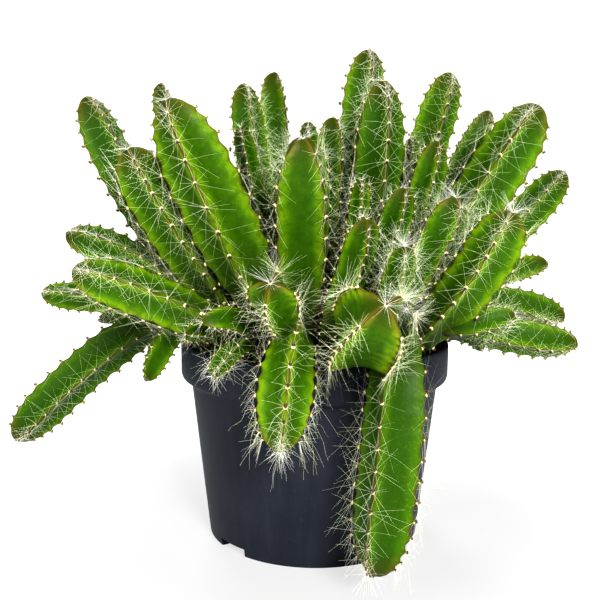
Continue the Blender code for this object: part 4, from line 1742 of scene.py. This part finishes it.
    def cutters(self) -> list[bpy.types.Object]:
        """The prisms that cut the foot notches and the drain holes.

        Returns:
            The prisms.
        """
        made = []
        inner = self.base - self.notch_reach
        reach = self.notch_reach + self.NOTCH_OVERSHOOT
        outline = [(inner + x * reach, y * self.notch_width) for x, y in self.NOTCH_BOX]
        for index in range(self.notches):
            turn = math.radians(self.notch_turn) + math.tau * index / self.notches
            made.append(self.prism(outline, self.notch_height, Matrix.Rotation(turn, 4, "Z")))
        circle = [math.tau * side / self.DRAIN_SIDES for side in range(self.DRAIN_SIDES)]
        outline = [(self.drain_radius * math.cos(a), self.drain_radius * math.sin(a)) for a in circle]
        for index in range(self.drains):
            turn = math.radians(self.notch_turn) + math.tau * (index + 0.5) / self.drains
            shift = Vector((math.cos(turn), math.sin(turn), 0.0)) * self.drain_circle * MM
            made.append(self.prism(outline, self.floor + self.CUT_MARGIN, Matrix.Translation(shift)))
        return made

    def prism(self, outline: list[Pair], top: float, place: Matrix) -> bpy.types.Object:
        """An upright prism from just under the ground.

        Args:
            outline: Its corners, counter-clockwise.
            top: Its height above the ground.
            place: Where it stands.

        Returns:
            The prism.
        """
        count = len(outline)
        points = np.array([(x, y, z) for z in (-self.CUT_MARGIN, top) for x, y in outline])
        faces = ring_faces(2, count) + [tuple(reversed(range(count))), tuple(range(count, 2 * count))]
        mesh = plain_mesh("pot_cutter", points, faces)
        mesh.transform(place)
        return place_object("pot_cutter", mesh)

    def build(self) -> bpy.types.Object:
        """Builds the pot.

        Returns:
            The pot.
        """
        material = self.finish.build()
        pot = self.shell(material)
        group = bpy.data.collections.new("pot_cutters")
        cutters = self.cutters()
        for cutter in cutters:
            group.objects.link(cutter)
        cut = pot.modifiers.new("cut", "BOOLEAN")
        cut.operation = "DIFFERENCE"
        cut.operand_type = "COLLECTION"
        cut.collection = group
        cut.solver = "EXACT"
        graph = bpy.context.evaluated_depsgraph_get()
        mesh = bpy.data.meshes.new_from_object(pot.evaluated_get(graph))
        pot.modifiers.clear()
        pot.data = mesh
        for cutter in cutters:
            bpy.data.objects.remove(cutter)
        bpy.data.collections.remove(group)
        mesh.materials.clear()
        mesh.materials.append(material)
        mesh.shade_smooth()
        mesh.set_sharp_from_angle(angle=math.radians(self.SHARP_ANGLE))
        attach(pot, BODY)
        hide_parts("pot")
        return pot


@dataclass
class PeatBed:
    """The soil that fills the pot, with an uneven top and loose crumbs."""

    top: float = 80.0
    gap: float = 0.3
    relief: float = 1.2
    columns: int = 120
    circles: int = 26
    crumbs: float = 60000.0
    crumb_size: float = 1.0
    seed: int = 3
    finish: SoilFinish = field(default_factory=SoilFinish)

    TOP_TOLERANCE = 0.01
    DISC_SIDES = 48
    CRUMB_MARGIN = 2.0
    CRUMB_DEPTH = 0.6
    CRUMB_SIZES = ((0.35, 0.35, 0.3), (1.5, 1.2, 0.9))
    CRUMB_WAYS = ((-1.0, -1.0, 0.2), (1.0, 1.0, 1.0))

    def build(self, pot: NurseryPot) -> list[bpy.types.Object]:
        """Builds the soil inside a pot.

        Args:
            pot: The pot's sizes.

        Returns:
            The bed and its crumbs.
        """
        material = self.finish.build()
        mesh = self.bed_mesh(pot)
        mesh.materials.append(material)
        mesh.shade_smooth()
        bed = place_object("soil_bed", mesh)
        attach(bed, BODY)
        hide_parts("soil")
        crumbs = self.crumb_tree(material).run("soil_crumbs", self.top_mesh(pot), material)
        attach(crumbs, BODY)
        return [bed, crumbs]

    def relief_at(self, points: np.ndarray) -> np.ndarray:
        """Small hills and hollows of the soil's top.

        Args:
            points: Places in plan.

        Returns:
            A drop below the highest level for each place.
        """
        x, y = points[:, 0], points[:, 1]
        waves = np.sin(0.31 * x + 1.3) * np.cos(0.27 * y) + 0.6 * np.sin(0.83 * x - 0.64 * y)
        waves += 0.4 * np.sin(1.9 * x + 0.7 * y + 2.0) * np.cos(1.7 * y - 0.4 * x)
        return self.relief * (0.5 - 0.25 * waves)

    def bed_mesh(self, pot: NurseryPot) -> bpy.types.Mesh:
        """The closed body of the soil.

        Args:
            pot: The pot's sizes.

        Returns:
            The mesh.
        """
        inset = pot.wall + self.gap
        low = pot.height - pot.collar
        rim = pot.rim - inset
        bottom = pot.floor + self.gap
        profile = [(pot.wall_radius(pot.floor) - inset, bottom)]
        profile += [(pot.wall_radius(low) - inset, low + self.gap), (rim, low + pot.chamfer + self.gap)]
        profile += [(rim * (1.0 - ring / self.circles), self.top) for ring in range(self.circles)]
        angles = math.tau * np.arange(self.columns) / self.columns
        ring = np.stack((np.cos(angles), np.sin(angles)), axis=1)
        rings = [np.column_stack((radius * ring, np.full(self.columns, z))) for radius, z in profile]
        points = np.concatenate(rings + [[(0.0, 0.0, bottom), (0.0, 0.0, self.top)]])
        on_top = points[:, 2] > self.top - self.TOP_TOLERANCE
        points[on_top, 2] -= self.relief_at(points[on_top])
        faces = ring_faces(len(profile), self.columns)
        last = (len(profile) - 1) * self.columns
        under, over = len(points) - 2, len(points) - 1
        for column in range(self.columns):
            after = (column + 1) % self.columns
            faces.append((after, column, under))
            faces.append((last + column, last + after, over))
        return plain_mesh("soil_bed", points, faces)

    def top_mesh(self, pot: NurseryPot) -> bpy.types.Mesh:
        """A flat disc that the crumbs are scattered over."""
        reach = pot.rim - pot.wall - self.gap - self.CRUMB_MARGIN
        angles = math.tau * np.arange(self.DISC_SIDES) / self.DISC_SIDES
        height = np.full(self.DISC_SIDES, self.top - self.CRUMB_DEPTH * self.relief)
        points = np.column_stack((reach * np.cos(angles), reach * np.sin(angles), height))
        return plain_mesh("soil_top", points, [tuple(range(self.DISC_SIDES))])

    def crumb_tree(self, material: bpy.types.Material) -> GeometryGraph:
        """Builds the tree that scatters the crumbs.

        Args:
            material: The crumbs' material.

        Returns:
            The tree.
        """
        graph = GeometryGraph("crumbs")
        density = graph.size("Crumbs per square metre", self.crumbs)
        size = graph.size("Crumb size", self.crumb_size * MM)
        seed = graph.size("Seed", self.seed)
        inputs = {"Mesh": graph.source, "Density": density, "Seed": seed}
        points = graph.value("GeometryNodeDistributePointsOnFaces", {}, inputs, "Points")
        crumb = graph.value("GeometryNodeMeshIcoSphere", {}, {"Radius": 1.0, "Subdivisions": 1})
        scale = graph.random(*self.CRUMB_SIZES, seed, 1) * size
        way = graph.random(*self.CRUMB_WAYS, seed, 2)
        graph.close(graph.scatter(points, crumb, way, scale), material)
        return graph


@dataclass(frozen=True)
class Lamp:
    """A soft box.

    Args:
        name: Its name.
        place: Where it hangs, in metres.
        target: What it faces, in metres.
        size: Its width in metres.
        power: Its power in watts.
    """

    name: str
    place: Point
    target: Point
    size: float
    power: float

    def build(self) -> None:
        """Hangs the lamp."""
        light = bpy.data.lights.new(self.name, "AREA")
        light.shape = "DISK"
        light.size = self.size
        light.energy = self.power
        lamp = bpy.data.objects.new(self.name, light)
        bpy.context.scene.collection.objects.link(lamp)
        lamp.location = self.place
        way = Vector(self.target) - Vector(self.place)
        lamp.rotation_euler = way.to_track_quat("-Z", "Y").to_euler()


@dataclass
class Studio:
    """The camera, the pale floor and the soft light."""

    camera_place: Point = (-6.7, -390.0, 164.2)
    pitch: float = 8.55
    roll: float = 0.41
    lens: float = 52.5
    floor_side: float = 12.0
    floor_white: float = 0.90
    floor_seen: float = 0.16
    near_glow: float = 0.55
    far_glow: float = 1.15
    glow_range: Pair = (0.08, 0.35)
    sky: float = 0.12
    sky_seen: float = 1.05
    sensor: float = 36.0
    nearest: float = 0.01
    lamps: tuple[Lamp, ...] = (
        Lamp("key", (0.32, -1.00, 0.58), (0.0, 0.0, 0.12), 0.35, 17.0),
        Lamp("fill", (-0.80, -0.80, 0.40), (0.0, 0.0, 0.10), 0.6, 5.5),
        Lamp("top", (0.1, 0.15, 1.2), (0.0, 0.0, 0.1), 0.6, 5.0),
        Lamp("back", (-0.3, 1.05, 0.7), (0.0, 0.0, 0.12), 0.6, 8.0),
    )

    def build(self) -> None:
        """Sets up the studio."""
        self.camera()
        self.world()
        self.ground()
        for lamp in self.lamps:
            lamp.build()
        settings = bpy.context.scene.view_settings
        settings.view_transform = "Standard"
        settings.look = "High Contrast"

    def camera(self) -> None:
        """Sets the camera at the viewing angle of the photograph."""
        data = bpy.data.cameras.new("camera")
        data.lens = self.lens
        data.sensor_width = self.sensor
        data.clip_start = self.nearest
        obj = bpy.data.objects.new("camera", data)
        bpy.context.scene.collection.objects.link(obj)
        tilt = Matrix.Rotation(math.radians(90.0 - self.pitch), 4, "X")
        turn = Matrix.Rotation(math.radians(self.roll), 4, "Z")
        obj.matrix_world = Matrix.Translation(Vector(self.camera_place) * MM) @ tilt @ turn
        bpy.context.scene.camera = obj

    def world(self) -> None:
        """Lights everything from all round, and shows white behind the object."""
        world = bpy.data.worlds.new("studio")
        world.use_nodes = True
        bpy.context.scene.world = world
        graph = Graph(world.node_tree)
        seen = graph.value("ShaderNodeLightPath", {}, {}, "Is Camera Ray")
        background = world.node_tree.nodes["Background"]
        background.inputs["Color"].default_value = (1.0, 1.0, 1.0, 1.0)
        graph.feed(background.inputs["Strength"], self.sky + seen * (self.sky_seen - self.sky))

    def ground(self) -> None:
        """Lays the pale floor."""
        half = 0.5 * self.floor_side / MM
        corners = np.array([(-half, -half, 0.0), (half, -half, 0.0), (half, half, 0.0), (-half, half, 0.0)])
        floor = place_object("floor", plain_mesh("floor", corners, [(0, 1, 2, 3)]))
        graph = MaterialGraph("floor_white", {"Roughness": 0.8, "Specular IOR Level": 0.2})
        white = (self.floor_white,) * 3
        graph.shader.inputs["Emission Color"].default_value = (*white, 1.0)
        seen = graph.value("ShaderNodeLightPath", {}, {}, "Is Camera Ray")
        graph.drive("Base Color", graph.mix(seen, white, (self.floor_seen,) * 3))
        away = graph.value("ShaderNodeVectorMath", {"operation": "LENGTH"}, {0: graph.place()}, "Value")
        glow = self.near_glow + graph.step(away, *self.glow_range) * (self.far_glow - self.near_glow)
        graph.drive("Emission Strength", seen * glow)
        floor.data.materials.append(graph.material)


def report_piece(piece: bpy.types.Object) -> None:
    """Logs a finished piece with its size."""
    piece.data.calc_loop_triangles()
    log.info("%s: %d triangles", piece.name, len(piece.data.loop_triangles))


def main() -> None:
    """Builds every sub-assembly in order."""
    logging.basicConfig(level=logging.INFO, format="%(name)s: %(message)s")
    Studio().build()
    pot = NurseryPot()
    pieces = [pot.build()]
    pieces += PeatBed().build(pot)
    pieces += CactusClump().build()
    for piece in pieces:
        report_piece(piece)


if __name__ == "__main__":
    main()
